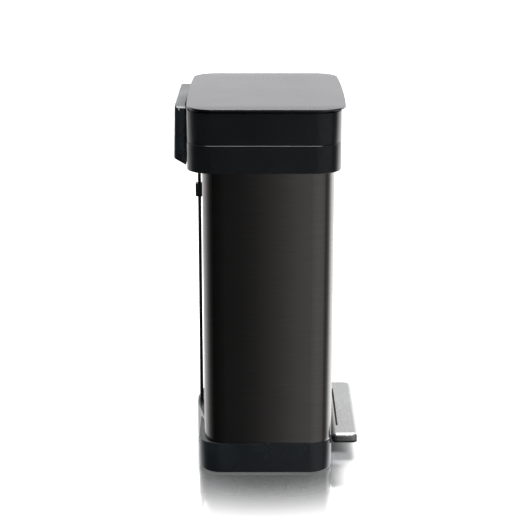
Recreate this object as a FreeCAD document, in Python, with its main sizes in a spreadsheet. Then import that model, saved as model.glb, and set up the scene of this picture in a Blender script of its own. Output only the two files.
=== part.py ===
import FreeCAD, Part

import math
import os
import re

import Sketcher

# Pedal trash can with a rectangular steel body, a moulded base and collar, and a lid
# that a pedal lifts through a rod behind the body.
# Millimetres. X is the width, Y runs from the pedal (-Y) to the hinge (+Y), Z is up.
# The origin is on the floor, midway between the pedal's edge and the hinge box's back.

SIZES = {
    # base
    "base_height": (58, "floor to the top of the moulded base"),
    "base_lift": (1.5, "floor to the lower edge of the base"),
    "base_wall": (3, "wall and deck of the base"),
    "base_side_step": (1.5, "base beyond the body at each side"),
    "base_front_step": (0.2, "base beyond the body in front"),
    "base_rear_step": (9.7, "base beyond the body behind"),
    "base_corner": (41, "radius of the base's upright corners"),
    "base_round": (4, "rounding of the base's lower edge"),
    "spigot_height": (15, "rim that stands up inside the body"),
    "spigot_wall": (2.2, "thickness of that rim"),
    "fit_gap": (0.4, "gap round a part that drops into another"),
    "plate_lift": (3.3, "floor to the underside of the bottom plate"),
    "plate_thick": (2.5, "bottom plate"),
    "pad_radius": (13, "rubber foot pad"),
    "pad_inset": (38, "pad centre in from the body's side, front and back"),
    "post_radius": (5, "screw post under the deck"),
    # housing of the rod behind the base
    "hump_half": (105, "half the width of the rod housing where it leaves the base"),
    "hump_flat": (16, "half the width of its flat middle"),
    "hump_low": (7, "floor to the underside of the rod housing"),
    "hump_top": (71, "floor to the top of the rod housing"),
    "hump_reach": (17.5, "housing beyond the body at its fullest"),
    "hump_wall": (2, "wall of the rod housing"),
    "hump_blend": (100, "radius between its flat middle and its slanting sides"),
    "hump_round": (1.6, "rounding of its top edge"),
    # screw posts, slot and pads of the base
    "post_in": (40, "corner screw posts further in than the foot pads"),
    "post_front": (28, "front screw posts behind the body's front"),
    "post_rear": (18, "rear screw posts ahead of the body's back"),
    "post_side": (22, "side screw posts in from the body's side"),
    "post_side_back": (5, "side screw posts behind the middle"),
    "pad_rear_out": (13, "rear foot pads nearer to the back by this much"),
    "slot_low": (10, "floor to the bottom of the lever's slot"),
    "pilot_depth": (14, "blind hole in a screw post"),
    # body
    "body_width": (376, "steel body, side to side"),
    "body_depth": (226, "steel body, front to back"),
    "body_length": (522, "steel body, bottom to top edge"),
    "body_corner": (39, "radius of the body's upright corners"),
    "body_sheet": (0.8, "steel sheet of the body"),
    # collar
    "collar_height": (48.6, "trim ring, bottom to top"),
    "collar_over_body": (14, "collar's top above the body's top edge"),
    "collar_side_step": (6, "collar beyond the body at each side"),
    "collar_front_step": (11, "collar beyond the body in front"),
    "collar_rear_step": (25.5, "collar beyond the body behind"),
    "collar_corner": (43, "radius of the collar's upright corners"),
    "collar_wall": (2.5, "wall of the collar"),
    "collar_flange": (3, "flange that carries the bucket"),
    "collar_bevel": (1.4, "bevel on the collar's top edge"),
    "lip_depth": (26, "inner lip of the collar, inside the body"),
    "lip_wall": (2, "thickness of that lip"),
    "mouth_inset": (15, "opening for the bucket, in from the body's side"),
    "mouth_corner": (30, "radius of the opening's corners"),
    "rod_way": (1.5, "room round the rod where it passes the collar"),
    "strap_way": (8, "room ahead of the rod for the guide's strap"),
    # bucket
    "bucket_gap": (2, "bucket to the edge of the opening"),
    "bucket_wall": (1.8, "wall of the bucket"),
    "bucket_taper_side": (13, "bucket's side drawn in at its foot"),
    "bucket_taper_end": (11, "bucket's front and back drawn in at its foot"),
    "bucket_foot_corner": (4, "corners tighter at the bucket's foot by this much"),
    "bucket_lift": (8, "deck to the underside of the bucket"),
    "rim_reach": (8, "bucket rim resting on the flange"),
    "rim_thick": (3.5, "height of the bucket rim"),
    "rim_round": (1.5, "rounding of the bucket rim"),
    "grip_width": (90, "finger opening in the bucket's side"),
    "grip_height": (20, "height of that opening"),
    "grip_drop": (24, "rim to the top of that opening"),
    # lid
    "lid_seam": (0.4, "gap between lid and collar"),
    "skirt_height": (53.6, "lid skirt"),
    "skirt_wall": (3, "wall and web of the lid skirt"),
    "skirt_bevel": (1.5, "rounding of the skirt's top edge"),
    "neck_inset": (5, "shadow gap, in from the skirt's side"),
    "neck_height": (4, "shadow gap under the top plate"),
    "top_sheet": (0.8, "steel sheet of the top plate"),
    "top_edge": (3, "turned-down edge of the top plate"),
    "top_round": (0.6, "rounding of the top plate's edge"),
    "top_fit": (0.2, "top plate to the spigot that it sits on"),
    "thin_side": (40, "thin middle of the lid's web, in from the side"),
    "thin_front": (45, "thin middle of the web behind the body's front"),
    "thin_rear": (48, "thin middle of the web ahead of the body's back"),
    "top_side_step": (3, "top plate beyond the skirt at each side"),
    "top_front_step": (9.3, "top plate beyond the skirt in front, the finger lip"),
    "top_rear_step": (2.5, "top plate beyond the skirt behind"),
    "top_corner": (41, "radius of the top plate's corners"),
    "top_bow": (4.8, "bow of the top plate's front and back edges"),
    "liner_height": (19, "inner lid panel"),
    "liner_wall": (2.5, "wall of the inner lid panel"),
    "liner_side": (11, "inner panel in from the lid's side"),
    "liner_front": (4, "inner panel behind the body's front"),
    "liner_rear": (6, "inner panel ahead of the body's back"),
    "liner_round": (5, "rounding of the inner panel's lower edge"),
    "liner_screw_out": (14, "panel screws further out than the base's posts"),
    "liner_screw_front": (30, "front panel screws behind the body's front"),
    "liner_screw_rear": (34, "rear panel screws ahead of the body's back"),
    "bumper_side": (54, "rubber buffer in from the lid's side"),
    "bumper_front": (5.5, "rubber buffer behind the skirt's inner face"),
    "bumper_radius": (4.5, "rubber buffer"),
    "bumper_height": (3.2, "rubber buffer"),
    # hinge
    "pin_behind": (13.85, "hinge pin behind the skirt"),
    "pin_below": (7.5, "hinge pin under the skirt's top"),
    "pin_radius": (2, "hinge pin"),
    "pin_clearance": (0.06, "radial running clearance on pins and axle"),
    "eye_radius": (4.4, "eye of an arm round the pin"),
    "box_width": (237, "hinge box, side to side"),
    "box_gap": (2.9, "collar to the front of the hinge box"),
    "box_depth": (19, "hinge box at its top, front to back"),
    "box_slant": (2.15, "hinge box deeper at its foot by this much"),
    "box_drop": (36, "seam to the foot of the box behind"),
    "box_slope": (12, "foot of the box lower in front by this much"),
    "box_wall": (2.2, "wall of the hinge box"),
    "box_corner": (8, "radius of the box's rear corners"),
    "box_seam": (0.6, "gap between the box's halves"),
    "box_round": (2.4, "rounding of the box's long top edges"),
    "box_end": (4.5, "bevel at each end of the box's top"),
    "box_lean": (0.6, "share of the box's slant that is reached at the seam"),
    "box_edge_least": (25, "shortest upright edge of the box that is rounded"),
    "cover_foot": (6, "radius of the feet between box and collar"),
    "cover_screw_out": (90, "outer cover screws from the middle"),
    "cover_screw_in": (35, "inner cover screws from the middle"),
    "cover_screw_drop": (18, "cover screws below the seam"),
    "pin_proud": (0.3, "pin beyond the box at each end"),
    "arm_place": (70, "goose-neck arm from the middle"),
    "arm_width": (12, "goose-neck arm"),
    "arm_room": (1.5, "room beside and round an arm"),
    "slot_under": (0.2, "wall's underside to the top of an arm's slot"),
    "arm_drop": (40.5, "pin to the underside of an arm's neck"),
    "arm_neck": (8, "height of an arm's neck"),
    "ear_gap": (8, "bracket ear to the side of an arm"),
    "ear_sheet": (2, "steel of the hinge bracket"),
    "bracket_half": (100, "half the length of the hinge bracket"),
    "bracket_below": (26, "bracket below the seam"),
    "bracket_above": (3, "bracket above the seam"),
    "ear_below": (20, "root of a bracket ear below the seam"),
    "ear_root": (16, "top of an ear's root below the pin"),
    "ear_shoulder": (2, "shoulder of an ear below the pin"),
    "ear_half": (4.2, "ear round the pin"),
    "arm_foot": (3, "foot of an arm, screwed under the lid"),
    "arm_foot_front": (3.2, "arm's foot ahead of the body's back"),
    "arm_foot_back": (8, "arm's foot to the skirt's rear wall"),
    "arm_leg": (6.5, "upright of an arm inside the lid"),
    "arm_stem_back": (3.2, "upright of an arm behind the pin"),
    "arm_stem_front": (4.1, "upright of an arm ahead of the pin"),
    "arm_screw_front": (1.8, "front screw of an arm behind the body's back"),
    "arm_screw_rear": (9.5, "rear screw of an arm behind the body's back"),
    # lift rod and crank
    "rod_radius": (3, "lift rod"),
    "rod_stand_off": (10.65, "middle of the rod behind the body"),
    "rod_clearance": (0.08, "radial clearance of the rod in its guide"),
    "crank_radius": (28, "hinge pin to crank pin"),
    "crank_angle": (40, "crank pin below the hinge pin, degrees"),
    "crank_pin_radius": (2.5, "crank pin"),
    "yoke_half": (7, "half the width of the slotted rod head"),
    "yoke_play": (0.8, "room over and under the crank pin in its slot"),
    "yoke_wall": (4, "rod head round its slot"),
    "cheek_gap": (1.5, "rod head to the crank's cheek"),
    "cheek_sheet": (2, "steel of the crank"),
    "cheek_front": (13.5, "crank ahead of its pin"),
    "cheek_root": (4, "front of the crank's cheek above its pin"),
    "cheek_low": (6.5, "cheek below its pin"),
    "cheek_low_front": (5.5, "cheek's foot ahead of its pin"),
    "cheek_low_rear": (4, "cheek's foot behind its pin"),
    "cheek_rise": (2, "rear of the cheek above its pin"),
    "cheek_back": (0.5, "crank to the skirt's rear wall"),
    "crank_screw_front": (9.5, "front crank screw ahead of the crank pin"),
    "crank_screw_rear": (1.5, "rear crank screw ahead of the crank pin"),
    "crank_pin_proud": (1, "crank pin beyond a cheek"),
    "head_front": (12.6, "slotted head ahead of the crank pin"),
    "head_rear": (5.5, "slotted head behind the crank pin"),
    "head_round": (2.5, "rounding of the slotted head"),
    "slot_front_wall": (3, "head ahead of its slot"),
    "slot_rear_wall": (2.4, "head behind its slot"),
    "rod_in_head": (3, "rod let into its head"),
    "rod_in_foot": (5, "bottom of the shoe under the rod's end"),
    "guide_low": (462.6, "floor to the underside of the rod guide"),
    "guide_height": (24, "rod guide"),
    "guide_half": (8, "half the width of the rod guide"),
    "guide_reach": (17.8, "rod guide behind the body"),
    "guide_round": (3, "rounding of the rod guide"),
    "guide_ear": (2.2, "thickness of the guide's screw ears"),
    "guide_ear_inset": (3, "screw ears lower than the guide at each end"),
    "guide_ear_span": (40, "screw ears, tip to tip"),
    "guide_screw_x": (14, "guide screw from the middle"),
    "strap_gap": (3.3, "rod to the front of the guide's strap"),
    "strap_thick": (1.5, "strap from the guide up into the collar"),
    "strap_width": (12, "width of that strap"),
    "strap_root": (4, "strap's foot in the guide"),
    "strap_rise": (22, "strap above the collar's lower edge"),
    # pedal
    "pedal_width": (275, "pedal, side to side"),
    "pedal_reach": (49.55, "pedal beyond the body in front"),
    "pedal_gap": (1.3, "pedal to the front of the base"),
    "pedal_drop": (3, "top of the pedal under the top of the base"),
    "pedal_lip": (12.5, "depth of the pedal's turned-down edge"),
    "pedal_sheet": (1.2, "steel sheet of the pedal"),
    "pedal_corner": (12, "radius of the pedal's front corners"),
    "pedal_round": (8, "rounding of the pedal's top edge"),
    "pedal_rear_corner": (10, "radius of the pedal's rear corners"),
    "tray_height": (15.8, "black tray under the pedal, floor side"),
    "tray_wall": (2.5, "wall of that tray"),
    "tray_fit": (0.2, "tray to the inside of the plate"),
    "tray_relief": (1.4, "groove in the tray under the strip"),
    "tray_screw_in": (60, "inner tray screws from the middle"),
    "tray_screw_out": (115, "outer tray screws from the middle"),
    "tray_screw_in_back": (16, "inner tray screws behind the pedal's edge"),
    "tray_screw_out_back": (26, "outer tray screws behind the pedal's edge"),
    "lever_way": (1, "room beside the lever under the pedal"),
    "lever_inset": (9.35, "lever behind the pedal's front edge"),
    "lever_pocket": (8, "front of the tray's recess for the lever"),
    "lever_door": (7, "height of the lever's way out of the tray"),
    "grip_length": (190, "strip across the pedal"),
    "grip_thick": (3.5, "strip, front to back"),
    "grip_back": (35.2, "strip behind the pedal's front edge"),
    "grip_proud": (0.5, "strip above the pedal"),
    "grip_fit": (0.1, "strip to the edge of its opening"),
    "grip_flange": (0.8, "flange of the strip under the plate"),
    "grip_flange_thick": (1.2, "thickness of that flange"),
    "grip_round": (0.4, "rounding of the strip's top"),
    "lever_sheet": (3, "steel of the pedal lever"),
    "lever_half_front": (28, "half the width of the lever in front"),
    "lever_half_rear": (14, "half the width of the lever behind"),
    "lever_knee_drop": (7.8, "lever's knee below the pedal plate"),
    "lever_nose": (15, "floor to the top of the lever's nose"),
    "lever_room": (7, "room beside the lever in the base's slot"),
    "lever_bend": (4, "lever's first bend ahead of the pedal's rear"),
    "knee_back": (9, "lever's knee behind the body's front"),
    "lever_split": (10, "lever narrows this far behind its axle"),
    "lever_flat": (15.65, "flat of the lever ahead of the rod"),
    "lever_past": (3.75, "lever's end behind the rod"),
    "lever_ear_front": (22, "ear ahead of the axle at its root"),
    "lever_ear_low_front": (10, "ear ahead of the axle at its foot"),
    "lever_ear_back": (9, "ear behind the axle"),
    "lever_ear_drop": (8.5, "ear below the axle"),
    "axle_back": (95, "lever axle behind the body's front"),
    "axle_gap": (0.495, "flange of a bush to the underside of the lever"),
    "axle_radius": (4, "lever axle"),
    "bush_radius": (5.2, "outside of an axle bush"),
    "bush_flange": (0.7, "flange of a bush beyond its outside"),
    "axle_half": (46, "half the length of the axle"),
    "saddle_place": (32, "inner side of a saddle from the middle"),
    "saddle_width": (10, "saddle along the axle"),
    "saddle_foot": (13, "half the saddle's foot"),
    "saddle_shoulder": (8, "half the saddle beside the axle"),
    "saddle_crown": (5, "half the saddle's top"),
    "saddle_shoulder_rise": (4, "saddle's shoulder above the axle"),
    "saddle_rise": (8, "saddle's top above the axle"),
    "bush_collar": (1.5, "thickness of a bush's flange"),
    "clip_reach": (2.6, "clip round the axle"),
    "clip_thick": (1.2, "axle clip"),
    "clip_gap": (0.1, "axle clip to its saddle"),
    "ear_place": (18, "inner side of a lever ear from the middle"),
    "foot_radius": (4.4, "shoe at the rod's foot"),
    "foot_length": (14, "shoe at the rod's foot"),
    "foot_gap": (0.8, "lever nose to the shoe"),
    # fasteners
    "screw_radius": (1.7, "screw shank"),
    "screw_head": (3.6, "radius of a screw head"),
    "head_thick": (1.6, "height of a screw head"),
    "screw_gap": (0.05, "radial gap round a screw"),
    "liner_screw_bite": (2, "panel screw into the lid's web"),
    "arm_screw_bite": (2, "arm screw into the lid's web"),
    "crank_screw_bite": (2, "crank screw into the lid's web"),
    "base_screw_bite": (10, "base screw into its post"),
    "guide_screw_length": (8, "guide screw"),
    "cover_screw_bite": (6, "cover screw into the collar"),
    # shared
    "seat_gap": (0.05, "between two faces that lie on each other"),
    "past": (1, "how far a cut goes past the face that it opens"),
    "weld": (0.5, "overlap of two pads that make one moulding"),
}

# Places worked out from the sizes, as text that a binding can use.
PLACES = {
    "side": "body_width/2",
    "back": "body_depth/2",
    "front": "-body_depth/2",
    "base_rear": "back+base_rear_step",
    "plate_top": "plate_lift+plate_thick",
    "deck_low": "base_height-base_wall",
    "hump_start": "back+fit_gap/2",
    "hump_rear": "back+hump_reach",
    "hump_run": "(hump_half-hump_flat)/(hump_rear-hump_start)",
    "room_rear": "hump_rear-hump_wall",
    "room_front": "hump_start+hump_wall",
    "room_x": "hump_flat+(room_rear-room_front)*hump_run",
    "way_y": "base_rear-base_wall",
    "way_x": "hump_flat+(room_rear-way_y)*hump_run",
    "pad_x": "side-pad_inset",
    "post_x": "side-pad_inset-post_in",
    "body_top": "base_height+body_length",
    "collar_side": "side+collar_side_step",
    "collar_front": "front-collar_front_step",
    "collar_rear": "back+collar_rear_step",
    "collar_top": "body_top+collar_over_body",
    "collar_low": "collar_top-collar_height",
    "flange_low": "collar_top-collar_flange",
    "mouth_x": "side-mouth_inset",
    "mouth_y": "back-mouth_inset+1",
    "bucket_x": "mouth_x-bucket_gap",
    "bucket_y": "mouth_y-bucket_gap",
    "bucket_low": "base_height+bucket_lift",
    "lid_low": "collar_top+lid_seam",
    "skirt_top": "lid_low+skirt_height",
    "web_low": "skirt_top-skirt_wall",
    "neck_top": "skirt_top+neck_height",
    "top_top": "neck_top+top_edge",
    "top_x": "collar_side+top_side_step",
    "top_front": "collar_front-top_front_step",
    "top_rear": "collar_rear+top_rear_step",
    "pin_y": "collar_rear+pin_behind",
    "pin_z": "skirt_top-pin_below",
    "box_front": "collar_rear+box_gap",
    "box_back": "box_front+box_depth",
    "box_top": "skirt_top",
    "seam_z": "collar_top-box_bevel",
    "box_bevel": "collar_bevel",
    "rod_y": "back+rod_stand_off",
    "crank_y": "pin_y-crank_radius*cos(crank_angle)",
    "crank_z": "pin_z-crank_radius*sin(crank_angle)",
    "yoke_front": "crank_y-head_front",
    "yoke_rear": "crank_y+head_rear",
    "yoke_low": "crank_z-crank_pin_radius-yoke_play-yoke_wall",
    "yoke_top": "crank_z+crank_pin_radius+yoke_play+yoke_wall",
    "cheek_x": "yoke_half+cheek_gap",
    "neck_low": "pin_z-arm_drop",
    "pedal_front": "front-pedal_reach",
    "pedal_rear": "front-base_front_step-pedal_gap",
    "pedal_under": "pedal_top-pedal_sheet",
    "plate_seat": "pedal_under-seat_gap",
    "pedal_low": "pedal_top-pedal_lip",
    "grip_rear": "pedal_front+grip_back",
    "tray_low": "plate_seat-tray_height",
    "axle_y": "front+axle_back",
    "pedal_top": "base_height-pedal_drop",
    "knee_y": "front+knee_back",
    "knee_z": "plate_seat-lever_knee_drop",
    "bend_y": "rod_y-lever_flat",
    "lever_slope": "(knee_z-lever_nose)/(bend_y-knee_y)",
    "lever_at_axle": "knee_z-lever_slope*(axle_y-knee_y)",
    "axle_height": "lever_at_axle-lever_sheet-bush_radius-bush_flange-axle_gap",
    "lever_end": "rod_y+lever_past",
    "shoe_low": "lever_nose+foot_gap",
    "bumper_x": "collar_side-bumper_side",
    "bumper_y": "collar_front+skirt_wall+bumper_front",
}


def cells(text):
    """Write each size or place named in the text as a cell of the sheet"""
    def replace(match):
        word = match.group(0)
        if word in SIZES:
            return "dims." + word
        if word in PLACES:
            return "(" + cells(PLACES[word]) + ")"
        return word
    return re.sub(r"[a-z]\w*", replace, str(text))


CLOSE = 0.001  # two places this near each other are the same
STEEP = 0.9    # how upright an edge's direction has to be to count as upright

doc = FreeCAD.newDocument("pedal_can")
sheet = doc.addObject("Spreadsheet::Sheet", "dims")
for row, (name, (value, note)) in enumerate(SIZES.items(), start=1):
    sheet.set(f"A{row}", name)
    sheet.set(f"B{row}", str(value))
    sheet.setAlias(f"B{row}", name)
    sheet.set(f"C{row}", note)
doc.recompute()


def number(text):
    """The present value of a size, a place or a sum of them"""
    result = sheet.evalExpression(cells(text))
    return float(getattr(result, "Value", result))


def point(x, y, z):
    return FreeCAD.Vector(number(x), number(y), number(z))


# ---- sketches -----------------------------------------------------------------------

def new_body(label):
    body = doc.addObject("PartDesign::Body", label)
    body.Label = label
    return body


def sketch_on(body, role, offset):
    """An empty sketch on one of the body's own planes, moved along its normal"""
    planes = [plane for plane in body.Origin.OriginFeatures if plane.Role == role]
    sketch = body.newObject("Sketcher::SketchObject", body.Label + "_sketch")
    sketch.AttachmentSupport = [(planes[0], "")]
    sketch.MapMode = "FlatFace"
    sketch.setExpression("AttachmentOffset.Base.z", cells(offset))
    return sketch


def bind(sketch, kind, *parts):
    """Add a constraint whose last part is a size written as text"""
    index = sketch.addConstraint(Sketcher.Constraint(kind, *parts[:-1], number(parts[-1])))
    sketch.setExpression(f"Constraints[{index}]", cells(parts[-1]))


def polygon(body, role, offset, points):
    """Closed outline of straight lines, each corner bound to its two places"""
    sketch = sketch_on(body, role, offset)
    corners = [point(across, along, "0") for across, along in points]
    count = len(corners)
    for i in range(count):
        sketch.addGeometry(Part.LineSegment(corners[i], corners[(i + 1) % count]), False)
    for i in range(count):
        sketch.addConstraint(Sketcher.Constraint("Coincident", i, 2, (i + 1) % count, 1))
    for i, (across, along) in enumerate(points):
        bind(sketch, "DistanceX", -1, 1, i, 1, across)
        bind(sketch, "DistanceY", -1, 1, i, 1, along)
    return sketch


def rectangle(body, role, offset, low, high):
    """Box outline between two opposite corners"""
    points = [(low[0], low[1]), (high[0], low[1]), (high[0], high[1]), (low[0], high[1])]
    return polygon(body, role, offset, points)


def circles(body, role, offset, centres, radius):
    sketch = sketch_on(body, role, offset)
    for i, (across, along) in enumerate(centres):
        centre = point(across, along, "0")
        sketch.addGeometry(Part.Circle(centre, FreeCAD.Vector(0, 0, 1), number(radius)), False)
        bind(sketch, "DistanceX", -1, 1, i, 3, across)
        bind(sketch, "DistanceY", -1, 1, i, 3, along)
        bind(sketch, "Radius", i, radius)
    return sketch


def arc(x, y, radius, start, end):
    circle = Part.Circle(FreeCAD.Vector(x, y, 0), FreeCAD.Vector(0, 0, 1), radius)
    return Part.ArcOfCircle(circle, math.radians(start), math.radians(end))


def line(x1, y1, x2, y2):
    return Part.LineSegment(FreeCAD.Vector(x1, y1, 0), FreeCAD.Vector(x2, y2, 0))


def outline(body, z, half, low, high, corner):
    """Rectangle with round corners seen from above, centred across X"""
    sketch = sketch_on(body, "XY_Plane", z)
    w, f, b, r = number(half), number(low), number(high), number(corner)
    sketch.addGeometry([
        line(-w + r, f, w - r, f), arc(w - r, f + r, r, 270, 360),
        line(w, f + r, w, b - r), arc(w - r, b - r, r, 0, 90),
        line(w - r, b, -w + r, b), arc(-w + r, b - r, r, 90, 180),
        line(-w, b - r, -w, f + r), arc(-w + r, f + r, r, 180, 270),
    ], False)
    for i in range(8):
        sketch.addConstraint(Sketcher.Constraint("Tangent", i, 2, (i + 1) % 8, 1))
    for i, kind in ((0, "Horizontal"), (2, "Vertical"), (4, "Horizontal"), (6, "Vertical")):
        sketch.addConstraint(Sketcher.Constraint(kind, i))
    for i in (3, 5, 7):
        sketch.addConstraint(Sketcher.Constraint("Equal", 1, i))
    bind(sketch, "Radius", 1, corner)
    bind(sketch, "DistanceX", -1, 1, 2, 1, half)
    bind(sketch, "DistanceX", -1, 1, 6, 1, f"-({half})")
    bind(sketch, "DistanceY", -1, 1, 0, 1, low)
    bind(sketch, "DistanceY", -1, 1, 4, 1, high)
    return sketch


def bowed_outline(body, z, half, low, high, corner, bow):
    """As outline, with the front and back edges bowed outwards"""
    sketch = sketch_on(body, "XY_Plane", z)
    w, f, b, r = number(half), number(low), number(high), number(corner)
    sweep_text = f"({half})*({half})/(2*({bow}))"
    sweep = number(sweep_text)
    rise = math.sqrt((sweep - r) ** 2 - (w - r) ** 2)
    lean = math.degrees(math.atan2(rise, w - r))
    front_y = f + sweep - rise
    back_y = b - sweep + rise
    sketch.addGeometry([
        arc(0, f + sweep, sweep, 180 + lean, 360 - lean), arc(w - r, front_y, r, -lean, 0),
        line(w, front_y, w, back_y), arc(w - r, back_y, r, 0, lean),
        arc(0, b - sweep, sweep, lean, 180 - lean), arc(-w + r, back_y, r, 180 - lean, 180),
        line(-w, back_y, -w, front_y), arc(-w + r, front_y, r, 180, 180 + lean),
    ], False)
    for i in range(8):
        sketch.addConstraint(Sketcher.Constraint("Tangent", i, 2, (i + 1) % 8, 1))
    for i in (2, 6):
        sketch.addConstraint(Sketcher.Constraint("Vertical", i))
    for i in (3, 5, 7):
        sketch.addConstraint(Sketcher.Constraint("Equal", 1, i))
    sketch.addConstraint(Sketcher.Constraint("Equal", 0, 4))
    for i in (0, 4):
        sketch.addConstraint(Sketcher.Constraint("PointOnObject", i, 3, -2))
    bind(sketch, "Radius", 1, corner)
    bind(sketch, "Radius", 0, sweep_text)
    bind(sketch, "DistanceX", -1, 1, 2, 1, half)
    bind(sketch, "DistanceX", -1, 1, 6, 1, f"-({half})")
    bind(sketch, "DistanceY", -1, 1, 0, 3, f"({low})+{sweep_text}")
    bind(sketch, "DistanceY", -1, 1, 4, 3, f"({high})-{sweep_text}")
    return sketch


# ---- features -----------------------------------------------------------------------

def pad(body, sketch, length, middle=False, back=False):
    feature = body.newObject("PartDesign::Pad", body.Label + "_pad")
    feature.Profile = sketch
    feature.setExpression("Length", cells(length))
    feature.Midplane = middle
    feature.Reversed = back
    doc.recompute()
    return feature


def pocket(body, sketch, length, middle=False, onwards=False):
    """Cut against the sketch's normal, or along it when onwards; it must remove something"""
    before = body.Shape.Volume
    feature = body.newObject("PartDesign::Pocket", body.Label + "_pocket")
    feature.Profile = sketch
    feature.setExpression("Length", cells(length))
    feature.Midplane = middle
    feature.Reversed = onwards
    doc.recompute()
    if body.Shape.Volume > before - CLOSE:
        raise RuntimeError(f"{body.Label}: a pocket removed nothing")
    return feature


def round_edges(body, size, wanted, bevel=False):
    """Fillet or bevel the edges of the body's last feature whose middle is wanted"""
    tip = body.Tip
    names = []
    for i, edge in enumerate(tip.Shape.Edges, start=1):
        middle = edge.valueAt((edge.FirstParameter + edge.LastParameter) / 2)
        if wanted(middle, edge):
            names.append(f"Edge{i}")
    if not names:
        raise RuntimeError(f"{body.Label}: no edge to round")
    kind = "PartDesign::Chamfer" if bevel else "PartDesign::Fillet"
    feature = body.newObject(kind, body.Label + "_edges")
    feature.Base = (tip, names)
    feature.setExpression("Size" if bevel else "Radius", cells(size))
    doc.recompute()
    return feature


def hollow(body, wall, open_faces):
    """Turn the body's last feature into a shell, open at the faces that are wanted"""
    tip = body.Tip
    names = [f"Face{i}" for i, face in enumerate(tip.Shape.Faces, start=1) if open_faces(face)]
    feature = body.newObject("PartDesign::Thickness", body.Label + "_shell")
    feature.Base = (tip, names)
    feature.setExpression("Value", cells(wall))
    feature.Reversed = True
    doc.recompute()
    return feature


def loft(body, sketches, cut=False):
    kind = "PartDesign::SubtractiveLoft" if cut else "PartDesign::AdditiveLoft"
    feature = body.newObject(kind, body.Label + "_loft")
    feature.Profile = sketches[0]
    feature.Sections = sketches[1:]
    doc.recompute()
    return feature


def near(value, text):
    return abs(value - number(text)) < CLOSE


def upright(edge):
    return abs(edge.tangentAt(edge.FirstParameter).z) > STEEP


def cylinder(name, radius, length, x, y, z, along="Z"):
    """A round bar from the given end, along Z, X or Y"""
    bar = doc.addObject("Part::Cylinder", name)
    bar.setExpression("Radius", cells(radius))
    bar.setExpression("Height", cells(length))
    turns = {"Z": FreeCAD.Rotation(), "X": FreeCAD.Rotation(FreeCAD.Vector(0, 1, 0), 90),
             "Y": FreeCAD.Rotation(FreeCAD.Vector(1, 0, 0), -90)}
    bar.Placement.Rotation = turns[along]
    for axis, place in (("x", x), ("y", y), ("z", z)):
        bar.setExpression("Placement.Base." + axis, cells(place))
    return bar


def joined(label, pieces):
    """Several primitives fused into one sub-part"""
    whole = doc.addObject("Part::MultiFuse", label)
    whole.Label = label
    whole.Shapes = pieces
    return whole


def group(label, pieces):
    """Separate solids that share one node"""
    whole = doc.addObject("Part::Compound", label)
    whole.Label = label
    whole.Links = pieces
    return whole


def screw(name, x, y, z, length, along):
    """Pan-head screw whose head's underside is at the place given, shank going along"""
    places = {"X": x, "Y": y, "Z": z}
    axis = along[-1]
    signs = {"-": ("0", f"-({length})"), "+": ("-head_thick", "0")}
    head_from, shank_from = signs[along[0]]
    head_place = dict(places)
    shank_place = dict(places)
    head_place[axis] = f"({places[axis]})+({head_from})"
    shank_place[axis] = f"({places[axis]})+({shank_from})"
    head = cylinder(name + "_head", "screw_head", "head_thick",
                    head_place["X"], head_place["Y"], head_place["Z"], axis)
    shank = cylinder(name + "_shank", "screw_radius", length,
                     shank_place["X"], shank_place["Y"], shank_place["Z"], axis)
    whole = doc.addObject("Part::MultiFuse", name)
    whole.Shapes = [head, shank]
    return whole


NODES = []


# ---- base ---------------------------------------------------------------------------

POSTS = [("post_x", "front+post_front"), ("-(post_x)", "front+post_front"),
         ("post_x", "back-post_rear"), ("-(post_x)", "back-post_rear"),
         ("side-post_side", "post_side_back"), ("-(side-post_side)", "post_side_back")]
PADS = [("pad_x", "front+pad_inset"), ("-(pad_x)", "front+pad_inset"),
        ("pad_x", "back-pad_inset+pad_rear_out"), ("-(pad_x)", "back-pad_inset+pad_rear_out")]


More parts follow.
